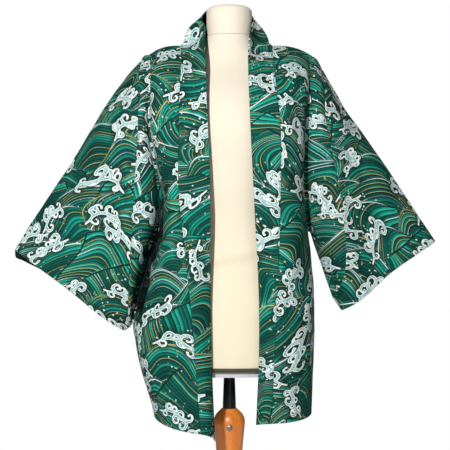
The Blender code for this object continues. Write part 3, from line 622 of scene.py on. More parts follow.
# %% The drawing's sizes, in millimetres
SWELL_STEP = 124  # between swells side by side
SWELL_DROP = 54  # between rows of swells
SWELL_REACH = 190  # how far a swell's stripes run down behind those in front
SWELL_SHIFT = 18  # how far a swell may lie off its place, either way
SWELL_TILT = 0.62  # the spread of the swells' tilt, in radians
HALF_WIDTH = (70, 112)  # half the width of a swell
SWELL_RISE = (34, 72)
STRIPE = (6.2, 9.2)  # narrowest and widest spacing of stripes
UNEVEN = (-0.45, 0.45)  # how much stripes may fan out or slant, and how far off its top a swell breaks
HUMP = 1.3  # how peaked a swell is
LEAN = 0.55  # how much a swell's hump leans to the side it breaks on
FOAM_APART = 56  # two clusters of foam keep at least this distance
FOAM_SPREAD = 95  # foam is drawn this far from where it breaks
SPINE_STEP = (10, 16)
SPINE_RADIUS = (1.6, 4.4)
LAST_CLAW, OUTER_CLAW, INNER_CLAW = (30, 40), (20, 34), (18, 28)
DROPS = (22, 40)  # drops of spray round a cluster
DROP_AWAY = (20, 56)  # how far they fly from its middle
DROP_RADIUS = (0.9, 1.9)
LINE_KINDS = (1.0, -0.8, 0.5, 0.8, -0.6)  # crest lines: white above 0, gold below 0, none at 0
EDGE_REACH = 5.0  # how far outside a swell its crest line is still noted
FAR = 99.0  # a distance that draws nothing
PRINT_FIELDS = ("stripe", "swell", "crest", "line", "foam", "spray", "gold")
Stroke = namedtuple("Stroke", "start end radius_start radius_end")


def warp(flat):
    """Bends the drawing's plane a little, so that no two swells are alike."""
    x, y = flat[:, 0], flat[:, 1]
    across = 13 * np.sin(y / 36 + x / 95) + 6 * np.sin(x / 31 - y / 52 + 1.7)
    up = 15 * np.sin(x / 44 - y / 130) + 5 * np.sin(y / 30 + x / 58 + 0.6)
    return np.stack([x + across, y + up], axis=1)


def heading_of(angle):
    return np.array([math.cos(angle), math.sin(angle)])


# %% [markdown]
# ### Foam
# Where a swell breaks, its foam is a spine that arches over, with curling claws on both sides. Each
# is a brush stroke that tapers, made of short straight runs. A distance to a run is easy to work
# out, which a curve's isn't.

# %% Brush strokes, claws and foam
def brush(place, angle, steps, radius, end_radius):
    """One brush stroke: steps of (length, bend), tapering from one radius to another."""
    strokes = []
    place = np.array(place, float)
    for k, (length, bend) in enumerate(steps):
        angle += bend
        after = place + length * heading_of(angle)
        start, end = (mix(radius, end_radius, j / len(steps)) for j in (k, k + 1))
        strokes.append(Stroke(place, after, start, end))
        place = after
    return strokes, angle


def claw(root, heading, size, turn, rng, branch=True):
    """A curling claw of foam: a stem that winds inwards into a hook, ends in a drop and may branch."""
    stem = [(rng.uniform(0.12, 0.2) * size, -rng.uniform(0.05, 0.35) * turn)] * 2
    tightness = rng.uniform(0.5, 0.64)
    curl = [(0.21 * size * 0.88**k, turn * tightness) for k in range(rng.integers(7, 10))]
    strokes, _ = brush(root, heading, stem + curl, rng.uniform(0.12, 0.15) * size, 0.045 * size)
    strokes[-1] = strokes[-1]._replace(radius_end=0.09 * size)
    if branch:
        outward = heading - turn * rng.uniform(0.7, 1.3)
        strokes += claw(strokes[1].end, outward, size * rng.uniform(0.5, 0.75), -turn, rng, False)
    return strokes


def foam(crest, tangent, lean, rng):
    """One breaking crest: a wide spine that arches over, with claws on both of its sides."""
    heading = tangent if lean > 0 else tangent + math.pi
    reach = rng.uniform(*SPINE_STEP)
    steps = [(reach, lean * 0.3)] * 2 + [(reach, -lean * 0.34)] * 3
    spine, end_angle = brush(crest - heading_of(heading) * reach * 2.5, heading, steps, *SPINE_RADIUS)
    strokes = spine + claw(spine[-1].end, end_angle, rng.uniform(*LAST_CLAW), -lean, rng)
    angle = heading
    for k, (stroke, (_, bend)) in enumerate(zip(spine, steps)):
        angle += bend
        if k in (1, 2, 3):
            outward = angle + lean * rng.uniform(0.7, 1.4)
            strokes += claw(stroke.end, outward, rng.uniform(*OUTER_CLAW), -lean, rng, k == 2)
        if k in (0, 3):
            inward = angle - lean * rng.uniform(0.8, 1.5)
            strokes += claw(stroke.end, inward, rng.uniform(*INNER_CLAW), lean, rng, False)
    return strokes


def distance_to(strokes, points):
    """Distance from points to the nearest stroke's edge; negative inside it."""
    nearest = np.full(len(points), FAR)
    for stroke in strokes:
        run = stroke.end - stroke.start
        share = np.clip((points - stroke.start) @ run / max(run @ run, 1e-9), 0, 1)
        radius = mix(stroke.radius_start, stroke.radius_end, share)
        gap = np.linalg.norm(points - stroke.start - share[:, None] * run, axis=1) - radius
        nearest = np.minimum(nearest, gap)
    return nearest


print("strokes in one breaking crest:", len(foam(np.zeros(2), 0.0, 1, np.random.default_rng(1))))

# %% [markdown]
# ### Laying the swells
# The swells are drawn row by row from the top of the cloth, each over what lies behind it, so only
# the points in a swell or close to its crest change. The foam comes after them, thinned out so that
# clusters keep apart.

# %% Draw every swell, then the foam and the spray
def near(points, place, reach):
    return np.flatnonzero((np.abs(points - place) < reach).all(axis=1))


def draw_swell(plane, noted, number, centre, rng):
    """Notes one swell over those behind it. Returns where it breaks, its slope there and its lean."""
    lean = 1 if rng.random() < 0.5 else -1
    tilt = rng.normal(0, SWELL_TILT)
    half_width, rise, spacing = (rng.uniform(*sizes) for sizes in (HALF_WIDTH, SWELL_RISE, STRIPE))
    fan, slant, ride = (rng.uniform(*UNEVEN) for _ in range(3))
    turn = np.array([[math.cos(tilt), -math.sin(tilt)], [math.sin(tilt), math.cos(tilt)]])
    height = rise * (1 - ride**2) ** HUMP * (1 + LEAN * lean * ride)
    tangent = tilt - math.atan(rise / half_width * (2 * HUMP) * ride * math.sqrt(1 - ride**2))
    found = near(plane, centre, SWELL_REACH)
    local = (plane[found] - centre) @ turn
    a, b = local[:, 0] / half_width, local[:, 1]
    round_top = np.clip(1 - a * a, 0, 1)
    top = rise * round_top**HUMP * (1 + LEAN * lean * a)
    slope = rise / half_width * (2 * HUMP) * a * np.sqrt(round_top)
    inside = (b < top) & (a * a + (np.minimum(b, 0) / SWELL_REACH) ** 2 < 1)
    rim = (1 - np.hypot(a, np.minimum(b, 0) / SWELL_REACH)) * half_width
    edge = np.minimum((top - b) / np.sqrt(1 + slope**2), rim)
    drawn = inside | (edge > -EDGE_REACH)
    wave = 6.5 * np.sin(a * 3.4 + number) + 3.0 * np.sin(b / 21 + a * 3 + number)
    fall = top - b + slant * local[:, 0] + wave
    noted["stripe"][found[inside]] = (fall / spacing * (1 + fan * a))[inside]
    noted["swell"][found[inside]] = number
    noted["crest"][found[drawn]] = edge[drawn]
    kind = LINE_KINDS[number % len(LINE_KINDS)]
    noted["line"][found[drawn]] = (kind * np.clip(1.5 - 1.9 * np.abs(a), 0, 1))[drawn]
    return centre + turn @ np.array([ride * half_width, height]), tangent, lean


def scatter_spray(plane, noted, spot, rng):
    for k in range(rng.integers(*DROPS)):
        angle, away = rng.uniform(0, 2 * math.pi), rng.uniform(*DROP_AWAY)
        drop = spot + away * heading_of(angle)
        radius = rng.uniform(*DROP_RADIUS)
        found = near(plane, drop, radius + 3)
        gap = np.linalg.norm(plane[found] - drop, axis=1) - radius
        target = noted["gold" if k % 5 < 2 else "spray"]
        target[found] = np.minimum(target[found], gap)


def draw_waves(flat, seed):
    """For each point of the cloth: stripe, swell, and distances to crest, foam, spray and gold."""
    rng = np.random.default_rng(seed)
    plane = warp(flat)
    noted = {name: np.full(len(plane), FAR) for name in PRINT_FIELDS}
    noted["stripe"] = plane[:, 1] / 7
    noted["swell"], noted["line"] = np.zeros(len(plane)), np.zeros(len(plane))
    low, high = plane.min(axis=0) - SWELL_STEP, plane.max(axis=0) + SWELL_DROP
    spots, broken = [], []
    for row, y in enumerate(np.arange(high[1], low[1] - SWELL_REACH * 0.2, -SWELL_DROP)):
        for x in np.arange(low[0] + (row % 2) * SWELL_STEP / 2, high[0] + SWELL_STEP, SWELL_STEP):
            centre = np.array([x, y]) + rng.uniform(-SWELL_SHIFT, SWELL_SHIFT, 2)
            spots.append(draw_swell(plane, noted, len(spots) + 1, centre, rng))
    for spot, tangent, lean in spots:
        if all(np.linalg.norm(spot - other) > FOAM_APART for other in broken):
            broken.append(spot)
            strokes = foam(spot, tangent, lean, rng)
            found = near(plane, spot, FOAM_SPREAD)
            noted["foam"][found] = np.minimum(noted["foam"][found], distance_to(strokes, plane[found]))
            scatter_spray(plane, noted, spot, rng)
    print(f"  {len(spots)} swells and {len(broken)} breaking crests drawn on {len(plane)} points")
    return noted


# %% [markdown]
# ## Creases
# Cotton that has been worn and hung keeps soft creases: troughs that fan out from the underarm,
# ridges that fall from the shoulder, and shallow dents. Sculpting works, but a table is easier to
# change: each row is a line, seen from the front, with a width and a depth. The hidden back gets
# its own, as uneven as the front's.

# %% Table of creases, in millimetres
Crease = namedtuple("Crease", "x z x_end z_end width depth")
FRONT_CREASES = table(
    Crease, (-222, 1335, -300, 1075, 15, -4.0), (-262, 1268, -352, 1010, 19, 3.0),
    (-232, 1170, -305, 905, 13, -4.5), (-330, 1140, -402, 985, 12, -3.0),
    (-236, 1010, -270, 838, 10, 3.0), (-228, 930, -350, 905, 14, -2.5),
    (-186, 1330, -182, 1060, 7, 2.5), (-150, 1305, -136, 1010, 13, -3.5),
    (-126, 1180, -121, 860, 12, 2.5), (-178, 905, -118, 742, 15, -4.0), (-196, 786, -128, 640, 14, 3.2),
    (-160, 740, -152, 600, 9, -3.0), (-100, 790, -96, 590, 10, -2.5), (-149, 1080, -151, 985, 5, -8.0),
    (-151, 1004, -174, 944, 9, -11.0), (-172, 956, -203, 816, 8, -12.0),
    (236, 1305, 312, 1085, 16, -3.8), (262, 1210, 372, 1012, 14, 3.2), (250, 1090, 330, 925, 13, -4.0),
    (340, 1140, 425, 988, 11, -2.8), (262, 985, 300, 862, 9, 2.6), (205, 1230, 206, 1050, 8, -2.8),
    (150, 1290, 133, 1060, 12, -3.2), (166, 1000, 124, 830, 14, -3.8), (176, 900, 150, 680, 12, 3.4),
    (128, 850, 118, 640, 10, -3.0), (166, 760, 168, 615, 8, 2.4),
)
BACK_CREASES = table(
    Crease, (-230, 1320, -318, 1050, 17, -4.0), (-258, 1190, -372, 1000, 14, 3.4),
    (-238, 1050, -300, 860, 12, -3.6), (-160, 1230, -96, 980, 20, -4.5), (-180, 900, -90, 760, 17, 3.8),
    (-60, 1390, -30, 1150, 18, -2.6), (-110, 820, -100, 640, 14, -3.2), (20, 1130, -12, 820, 20, 3.0),
    (70, 1330, 118, 1090, 17, -3.6), (168, 1060, 84, 860, 19, -4.2), (150, 880, 120, 660, 15, 3.4),
    (60, 800, 66, 640, 12, -2.6), (246, 1290, 318, 1070, 15, -3.8), (256, 1160, 380, 1005, 14, 3.0),
    (262, 1020, 322, 890, 11, -3.4),
)


DEEPEST = 10.0  # no crease sinks deeper than this
SHADE_FROM, SHADE_FULL = 4.6, 8.0  # a fold deeper than this lies in its own shade


def crease_depth(space, layer):
    """How far creases move each point out, by its place seen from the front."""
    moved = np.zeros(space.shape[:-1])
    for crease in FRONT_CREASES if layer < 0 else BACK_CREASES:
        start = np.array([crease.x, crease.z])
        run = np.array([crease.x_end, crease.z_end]) - start
        away = space[..., [0, 2]] - start
        share = away @ run / (run @ run)
        off = np.abs(away @ np.array([-run[1], run[0]])) / np.linalg.norm(run)
        ends = np.clip(share * 4 + 0.4, 0, 1) * np.clip((1 - share) * 3 + 0.3, 0, 1)
        wide = crease.width * (0.7 + 0.6 * np.clip(share, 0, 1))
        moved += crease.depth * np.exp(-((off / wide) ** 2)) * ends * ends * (3 - 2 * ends)
    return np.maximum(moved, -DEEPEST)


def ripple(space):
    """The slight unevenness of worn cloth."""
    x, y, z = (space[..., k] for k in range(3))
    broad = np.sin(x / 31 + 2 * np.sin(z / 87)) * np.sin(z / 53 + y / 40)
    return 0.9 * broad + 0.45 * np.sin(x / 13 + z / 21) * np.sin(z / 17 - x / 29)


print("creases:", len(FRONT_CREASES), "in front,", len(BACK_CREASES), "behind")

# %% [markdown]
# ## Turning grids into cloth
# Each grid becomes a thin closed shell. Its face has a point every two millimetres or so, which
# keeps the print sharp. The inside needs only a third as many, so the rim between the two is made
# of faces with six corners. Near a seam the cloth dips, as it does where it is sewn.

# %% A panel's surface and its shell
COTTON = 0.9  # thickness of the cloth
SEAM_DIP = 0.9
SEAM_WIDTH = 2.2
END_CALM, SIDE_CALM, RIPPLE_CALM = 18, 12, 10  # creases and ripples fade out this near an edge
RIPPLE = 0.6  # share of the cloth's slight unevenness that is used
CLOTH_FIELDS = (*PRINT_FIELDS, "shade")


def surface_normals(space, outside, ring):
    if ring:
        space = np.concatenate([space[:, -3:-1], space, space[:, 1:3]], axis=1)
    normal = np.cross(np.gradient(space, axis=0), np.gradient(space, axis=1))
    if ring:
        normal, space = normal[:, 2:-2], space[:, 2:-2]
    normal = normal / np.maximum(np.linalg.norm(normal, axis=2, keepdims=True), 1e-9)
    turned = (normal * outside(space)).sum() < 0
    return (-normal if turned else normal), turned


def seam_dip(space, sewn):
    """Sinks the cloth beside the sewn edges of a grid: top, first or last column."""
    sunk = np.zeros(space.shape[:2])
    edges = {"top": space[:1], "first": space[:, :1], "last": space[:, -1:]}
    for name in sewn:
        gap = np.linalg.norm(space - edges[name], axis=2)
        sunk += SEAM_DIP * np.exp(-((gap / SEAM_WIDTH) ** 2))
    return sunk


def calm(count, spacing, reach):
    """For a row of points: 0 at both ends, and 1 from this far in."""
    from_end = np.minimum(np.arange(count), np.arange(count)[::-1])
    return np.clip(from_end * spacing / reach, 0, 1)


def panel(grid, spacing, outside, layer, sewn, ring=False, wall=COTTON, lift=0.0, creased=1.0):
    """The points of one grid's face and inside, with the flat place of each."""
    fine = refine(flatten(grid, ring), spacing, ring)
    space, flat = fine[..., :3], fine[..., 3:]
    rows, cols = space.shape[:2]
    normal, turned = surface_normals(space, outside, ring)
    side = np.sign(normal[..., 1]) if layer is None else np.full((rows, cols), layer)
    creases = np.where(side < 0, crease_depth(space, -1), crease_depth(space, 1))
    shade = np.clip((-creases - SHADE_FROM) / (SHADE_FULL - SHADE_FROM), 0, 1)
    moved = creases * creased * calm(rows, spacing, END_CALM)[:, None]
    if not ring:
        moved *= calm(cols, spacing, SIDE_CALM)[None]
    moved += ripple(space) * RIPPLE * creased * calm(rows, spacing, RIPPLE_CALM)[:, None]
    moved += lift - seam_dip(space, sewn)
    space = space + normal * moved[..., None]
    inside = (space - normal * wall)[::INSIDE_STEP, ::INSIDE_STEP]
    return SimpleNamespace(face=space, inside=inside, flat=flat, turned=turned, ring=ring, shade=shade)


def quads(index):
    corners = (index[:-1, :-1], index[:-1, 1:], index[1:, 1:], index[1:, :-1])
    return np.stack([corner.ravel() for corner in corners], axis=1)


def shell_faces(made, first):
    """The faces of a panel's shell: outside, inside and rim. Points count from first."""
    rows, cols = made.face.shape[:2]
    face = np.arange(rows * cols).reshape(rows, cols) + first
    inside = np.arange(made.inside[..., 0].size).reshape(made.inside.shape[:2]) + face[-1, -1] + 1
    edges = [(face[0], inside[0], False), (face[-1], inside[-1], True)]
    if made.ring:
        face[:, -1] = face[:, 0]
        inside[:, -1] = inside[:, 0]
    else:
        edges += [(face[:, 0], inside[:, 0], True), (face[:, -1], inside[:, -1], False)]
    outer, inner, rims = quads(face), quads(inside)[:, ::-1], []
    for fine, coarse, back in edges:
        for k in range(len(coarse) - 1):
            run = fine[INSIDE_STEP * k : INSIDE_STEP * (k + 1) + 1]
            loop = [*run[::-1], coarse[k], coarse[k + 1]]
            rims.append(loop[::-1] if back != made.turned else loop)
    if made.turned:
        outer, inner = outer[:, ::-1], inner[:, ::-1]
    return outer, inner, rims


# %% [markdown]
# ### One mesh for each piece
# A piece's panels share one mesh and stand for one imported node. The print's distances go into
# attributes of its points and the flat places into its UV map, where the materials find them. Every
# piece here rides with the one body, because nothing on a jacket turns on a hinge.

# %% From panels to pieces
def new_object(name, data):
    obj = bpy.data.objects.new(name, data)
    bpy.context.scene.collection.objects.link(obj)
    return obj


def new_piece(name, data, node=None):
    """An object that rides with the one body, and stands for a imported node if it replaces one."""
    obj = new_object(name, data)
    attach(obj, "root")
    if node:
        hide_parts(node)
    return obj


def flat_area(flat):
    """Square metres of a panel laid flat."""
    side, down = np.diff(flat[:-1], axis=1), np.diff(flat[:, :-1], axis=0)
    return np.abs(side[..., 0] * down[..., 1] - side[..., 1] * down[..., 0]).sum() * MM * MM


def drop_loose(data):
    """Removes points that no face uses, such as the doubled column of a ring."""
    mesh = bmesh.new()
    mesh.from_mesh(data)
    loose = [vert for vert in mesh.verts if not vert.link_faces]
    bmesh.ops.delete(mesh, geom=loose, context="VERTS")
    mesh.to_mesh(data)
    mesh.free()


def with_inside(values):
    """Rows of values for a panel's face and then, thinned out, for its inside."""
    size = values.shape[2]
    return [values.reshape(-1, size), values[::INSIDE_STEP, ::INSIDE_STEP].reshape(-1, size)]


def cloth_piece(name, panels, seed, node):
    """One object from a piece's panels: printed outside, plain inside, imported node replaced."""
    points, faces, kinds, fields, flats = [], [], [], [], []
    for made in panels:
        outer, inner, rims = shell_faces(made, sum(len(block) for block in points))
        points += [made.face.reshape(-1, 3), made.inside.reshape(-1, 3)]
        drawn = draw_waves(made.flat.reshape(-1, 2), seed)
        drawn["shade"] = made.shade.ravel()
        stacked = np.stack([drawn[key] for key in CLOTH_FIELDS], axis=1)
        fields += with_inside(stacked.reshape(*made.face.shape[:2], -1))
        flats += with_inside(made.flat)
        faces += [*outer.tolist(), *inner.tolist(), *rims]
        kinds += [0] * len(outer) + [1] * len(inner) + [0] * len(rims)
    data = bpy.data.meshes.new(name)
    data.from_pydata((np.concatenate(points) * MM).tolist(), [], faces)
    data.polygons.foreach_set("material_index", kinds)
    values = np.concatenate(fields)
    for k, key in enumerate(CLOTH_FIELDS):
        data.attributes.new(key, "FLOAT", "POINT").data.foreach_set("value", values[:, k])
    corner = np.zeros(len(data.loops), np.int32)
    data.loops.foreach_get("vertex_index", corner)
    flat = np.concatenate(flats) * MM
    data.uv_layers.new(name="cloth").data.foreach_set("uv", flat[corner].ravel())
    drop_loose(data)
    data.shade_smooth()
    obj = new_piece(name, data, node)
    obj["cloth_area"] = float(sum(flat_area(made.flat) for made in panels))
    print(f"{name}: {len(data.vertices)} points, {sum(len(face) - 2 for face in faces)} triangles")
    return obj

# %% [markdown]
# ## Building the cloth
# Now the six pieces are made. The two fronts and the back each have their body and, beyond the deep
# fold, the strip that runs out to the armhole. The print is drawn anew on each piece, so it breaks
# at the seams, as it does when panels are cut from one length of cloth.

# %% Fronts, back, sleeves and band
FRONT_SPACING, BACK_SPACING, SLEEVE_SPACING, BAND_SPACING = 1.9, 2.5, 2.0, 1.6
BAND_COTTON = 2.2  # the band is folded cloth with a stiff core
BAND_LIFT, BAND_CREASED = 1.1, 0.25
FRONT_SEED, BACK_SEED, SLEEVE_SEED, BAND_SEED = 11, 23, 31, 47


# Which way is outwards at each point: ahead, behind, away from the axis or from a sleeve's middle
def forwards(space):
    return np.array([0.0, -1.0, 0.0])


def backwards(space):
    return np.array([0.0, 1.0, 0.0])


def from_axis(space):
    return space * np.array([1.0, 2.0, 0.0])


def from_sleeve_middle(space):
    return space * np.array([0.0, 1.0, 0.0])


cloth, fronts, sleeves = {}, {}, {}
back_panels = [panel(back_grid(), BACK_SPACING, backwards, 1, ("top",))]
for half in (RIGHT, LEFT):
    body = panel(front_grid(half), FRONT_SPACING, forwards, -1, ("top", "first"))
    wing = panel(wing_grid(half, "front"), FRONT_SPACING, forwards, -1, ("top", "last"))
    fronts[half.name] = [body, wing]
    back_panels.append(panel(wing_grid(half, "back"), BACK_SPACING, backwards, 1, ("top", "last")))
    sleeve = panel(sleeve_grid(half), SLEEVE_SPACING, from_sleeve_middle, None, ("top",), ring=True)
    sleeves[half.name] = [sleeve]
band = panel(
    band_grid(front_grid(RIGHT), front_grid(LEFT), back_grid()),
    BAND_SPACING, from_axis, -1, ("first",), wall=BAND_COTTON, lift=BAND_LIFT, creased=BAND_CREASED,
)
pieces = [
    *((f"front_{side}", panels, FRONT_SEED + k) for k, (side, panels) in enumerate(fronts.items())),
    ("back", back_panels, BACK_SEED),
    *((f"sleeve_{side}", panels, SLEEVE_SEED + k) for k, (side, panels) in enumerate(sleeves.items())),
    ("collar_band", [band], BAND_SEED),
]
for name, panels, seed in pieces:
    cloth[name] = cloth_piece(f"cloth_{name}", panels, seed, name)

# %% [markdown]
# ## Shader helpers
# Materials are graphs of small nodes. Written out, each node takes several lines, so this class keeps
# a tree and has a short call for every kind that comes again. Each material below then reads as a
# list of steps.

# %% Helpers for node graphs
class Graph:
    """A node tree, with a short call for each kind of node that comes again and again."""

    def __init__(self, tree):
        self.tree = tree

    def feed(self, socket, value):
        """Links a socket from another one, or else sets its value."""
        if isinstance(value, bpy.types.NodeSocket):
            self.tree.links.new(value, socket)
        else:
            socket.default_value = (*value, 1.0) if socket.type == "RGBA" else value

    def node(self, kind, inputs=(), **settings):
        made = self.tree.nodes.new(kind)
        for key, value in settings.items():
            setattr(made, key, value)
        for key, value in dict(inputs).items():
            self.feed(made.inputs[key], value)
        return made

    def math(self, operation, *values):
        return self.node("ShaderNodeMath", enumerate(values), operation=operation).outputs[0]

    def times(self, first, second):
        return self.math("MULTIPLY", first, second)

    def minus(self, first, second):
        return self.math("SUBTRACT", first, second)

    def size_of(self, value):
        return self.math("ABSOLUTE", value)

    def ramp(self, value, low, high, start=0.0, end=1.0):
        """Runs evenly from start, where the value is low, to end, where it is high."""
        return self.node("ShaderNodeMapRange", {0: value, 1: low, 2: high, 3: start, 4: end}).outputs[0]

    def under(self, distance, at, soft):
        """1 where the distance is under at, 0 beyond it, with a soft step between."""
        return self.ramp(distance, at - soft, at + soft, 1.0, 0.0)

    def layers(self, color, *layers):
        """A colour with others laid over it, each by its own share."""
        for share, over in layers:
            mixed = self.node("ShaderNodeMix", {0: share, 6: color, 7: over}, data_type="RGBA")
            color = mixed.outputs[2]
        return color

    def place(self):
        return self.node("ShaderNodeTexCoord").outputs["Object"]

    def parts(self, vector):
        return self.node("ShaderNodeSeparateXYZ", {0: vector}).outputs

    def stretched(self, place, scale, rotation=(0.0, 0.0, 0.0)):
        inputs = {"Vector": place, "Scale": scale, "Rotation": rotation}
        return self.node("ShaderNodeMapping", inputs).outputs[0]

    def noise(self, place, scale, detail, distortion=0.0):
        inputs = {"Vector": place, "Scale": scale, "Detail": detail, "Distortion": distortion}
        return self.node("ShaderNodeTexNoise", inputs).outputs[0]

    def bump(self, shader, height, strength, distance):
        inputs = {"Height": height, "Strength": strength, "Distance": distance}
        self.feed(shader["Normal"], self.node("ShaderNodeBump", inputs).outputs[0])


def new_group(name, inputs, outputs):
    """A node group's graph, the sockets that it is given and those of its result."""
    group = bpy.data.node_groups.new(name, "ShaderNodeTree")
    for in_out, sockets in (("INPUT", inputs), ("OUTPUT", outputs)):
        for title, kind, value in sockets:
            socket = group.interface.new_socket(title, in_out=in_out, socket_type=f"NodeSocket{kind}")
            if value is not None:
                socket.default_value = value
    given, result = group.nodes.new("NodeGroupInput"), group.nodes.new("NodeGroupOutput")
    return Graph(group), given.outputs, result.inputs


def new_material(name, **constants):
    """A material, its graph and its shader's sockets, with constants set on those."""
    material = bpy.data.materials.new(name)
    material.use_nodes = True
    shader = material.node_tree.nodes["Principled BSDF"].inputs
    for key, value in constants.items():
        shader[key.replace("_", " ").title().replace("Ior", "IOR")].default_value = value
    return material, Graph(material.node_tree), shader


# %% [markdown]
# ## Inks
# The print has few inks: a near-black green ground, two greens and a teal for the stripes, gold for
# fine lines, and white with teal lines for the foam. The group below reads the distances
# noted in the cloth and lays the inks over each other, from the ground up to the spray.

# %% The print as a node group
GROUND = (0.0012, 0.019, 0.017)
DEEP = (0.003, 0.075, 0.055)
GREEN = (0.004, 0.18, 0.118)
TEAL = (0.012, 0.37, 0.265)
GOLD = (0.44, 0.385, 0.12)
FOAM = (0.62, 0.7, 0.71)
FOAM_SHADE = (0.015, 0.19, 0.16)
CREST_INK = 1.3  # the widest crest line, in millimetres from its middle
CREST_BORDER = 1.6  # half the dark border that it lies on
FOAM_STREAKS = (-2.0, -3.7)  # depths in the foam where teal lines run
SWELL_KEY, LUCK_KEY = 17.31, 0.37  # set the random numbers of stripes apart

printed, given, result = new_group(
    "wave print", [(name.title(), "Float", 0.0) for name in PRINT_FIELDS], [("Color", "Color", None)]
)


def random_for(key):
    """An even random number from 0 to 1 for each key."""
    return printed.node("ShaderNodeTexWhiteNoise", {"W": key}, noise_dimensions="1D").outputs["Value"]


# Stripes: each runs from the ground's colour to its own hue, and a few have a gold or pale top
stripe_number = printed.math("FLOOR", given["Stripe"])
key = printed.math("MULTIPLY_ADD", printed.math("ROUND", given["Swell"]), SWELL_KEY, stripe_number)
chance, luck = random_for(key), random_for(printed.math("ADD", key, LUCK_KEY))
unlike, unlucky = printed.minus(1.0, chance), printed.minus(1.0, luck)
within = printed.math("FRACT", given["Stripe"])
from_top = printed.minus(1.0, within)
hue = printed.layers(DEEP, (chance, GREEN), (printed.under(unlike, 0.34, 0.04), TEAL))
sunk = printed.ramp(given["Crest"], 4.0, 62.0, 1.0, 0.42)
gilt = printed.times(printed.under(from_top, 0.11, 0.04), printed.under(luck, 0.36, 0.02))
pale = printed.times(printed.under(from_top, 0.16, 0.05), printed.under(unlucky, 0.12, 0.01))
pale = printed.times(pale, printed.ramp(given["Crest"], 12.0, 44.0, 1.0, 0.0))
inks = printed.layers(
    GROUND,
    (printed.times(printed.ramp(within, 0.05, 0.8), sunk), hue),
    (gilt, GOLD),
    (pale, FOAM),
    (printed.times(printed.under(given["Foam"], 7.0, 6.0), 0.75), GROUND),
)

# Crest lines, white or gold, on a dark border
strength, from_crest = printed.size_of(given["Line"]), printed.size_of(given["Crest"])
thin = printed.math("MULTIPLY_ADD", strength, -CREST_INK, from_crest)
shown = printed.math("MINIMUM", printed.times(strength, 4.0), 1.0)
inks = printed.layers(
    inks,
    (printed.under(from_crest, CREST_BORDER, 0.6), GROUND),
    (
        printed.times(printed.under(thin, 0.0, 0.35), shown),
        printed.layers(FOAM, (printed.under(given["Line"], 0.0, 0.05), GOLD)),
    ),
)

# Foam with a dark border, a gold rim and teal streaks, then drops
for at, soft, share, ink in ((2.2, 0.6, 1.0, GROUND), (0.7, 0.2, 0.35, GOLD), (0.1, 0.22, 1.0, FOAM)):
    inks = printed.layers(inks, (printed.times(printed.under(given["Foam"], at, soft), share), ink))
for depth in FOAM_STREAKS:
    away = printed.size_of(printed.minus(given["Foam"], depth))
    inks = printed.layers(inks, (printed.times(printed.under(away, 0.5, 0.3), 0.9), FOAM_SHADE))
for drops, ink in (("Spray", FOAM), ("Gold", GOLD)):
    inks = printed.layers(inks, (printed.under(given[drops], 0.0, 0.3), ink))
printed.feed(result["Color"], inks)
print("print nodes:", len(printed.tree.nodes))

# %% [markdown]
# ## Woven cotton
# A plain weave is two sets of threads that pass over and under each other. Two crossed waves on
# the flat cloth make it, as fine as real shirting, with a slow wander so that it isn't a grid of
# perfect squares. The printed cotton, its reverse and the form's cover all use this group.

# %% A weave group, and the two sides of the printed cotton
COTTON_WEAVE = (5200.0, 0.25, 0.0002)  # threads, then the bump's strength and distance
FOLD_SHADE = (0.0006, 0.002, 0.0018)

woven, given, result = new_group(
    "plain weave",
    [("Vector", "Vector", None), ("Threads", "Float", 1800.0), ("Slub", "Float", 0.3)],
    [("Height", "Float", None), ("Slubs", "Float", None)],
)
slubs = woven.noise(given["Vector"], 260.0, 2.0)
wander = woven.times(slubs, given["Slub"])
warp_thread, weft_thread = (
    woven.math("SINE", woven.math("MULTIPLY_ADD", along, given["Threads"], wander))
    for along in woven.parts(given["Vector"])[:2]
)
crossed = woven.times(warp_thread, weft_thread)
woven.feed(result["Height"], woven.math("MULTIPLY_ADD", slubs, 0.6, crossed))
woven.feed(result["Slubs"], slubs)


def add_weave(graph, shader, place, threads, strength, distance):
    inputs = {"Vector": place, "Threads": threads}
    weave = graph.node("ShaderNodeGroup", inputs, node_tree=woven.tree).outputs
    graph.bump(shader, weave["Height"], strength, distance)
    return weave["Slubs"]


def printed_cotton():
    material, graph, shader = new_material("printed cotton", roughness=0.82, specular_ior_level=0.1)
    read = {
        key: graph.node("ShaderNodeAttribute", attribute_name=key).outputs["Fac"] for key in CLOTH_FIELDS
    }
    given = {key.title(): read[key] for key in PRINT_FIELDS}
    inks = graph.node("ShaderNodeGroup", given, node_tree=printed.tree).outputs["Color"]
    flat = graph.node("ShaderNodeUVMap", uv_map="cloth").outputs[0]
    slubs = add_weave(graph, shader, flat, *COTTON_WEAVE)
    inputs = {0: inks, "Scale": graph.ramp(slubs, 0.25, 0.75, 0.86, 1.1)}
    worn = graph.node("ShaderNodeVectorMath", inputs, operation="SCALE").outputs[0]
    graph.feed(shader["Base Color"], graph.layers(worn, (graph.times(read["shade"], 0.96), FOLD_SHADE)))
    return material


def shaded_cotton_reverse():
    """The unprinted side in painted shade, near black; the inks show through, dull and blurred."""
    material, graph, shader = new_material("cotton reverse in painted shade", roughness=0.9, specular_ior_level=0.2)
    flat = graph.node("ShaderNodeUVMap", uv_map="cloth").outputs[0]
    ghost = graph.ramp(graph.noise(flat, 26.0, 3.0, 1.6), 0.46, 0.62)
    # painted shade: the reverse's dull green darkened to near black, as inside sleeves and folds
    graph.feed(shader["Base Color"], graph.layers((0.003, 0.013, 0.011), (ghost, (0.01, 0.036, 0.03))))
    add_weave(graph, shader, flat, *COTTON_WEAVE)
    return material


cotton, reverse = printed_cotton(), shaded_cotton_reverse()
for piece in cloth.values():
    piece.data.materials.append(cotton)
    piece.data.materials.append(reverse)
print("slots of the back:", [slot.name for slot in cloth["back"].material_slots])

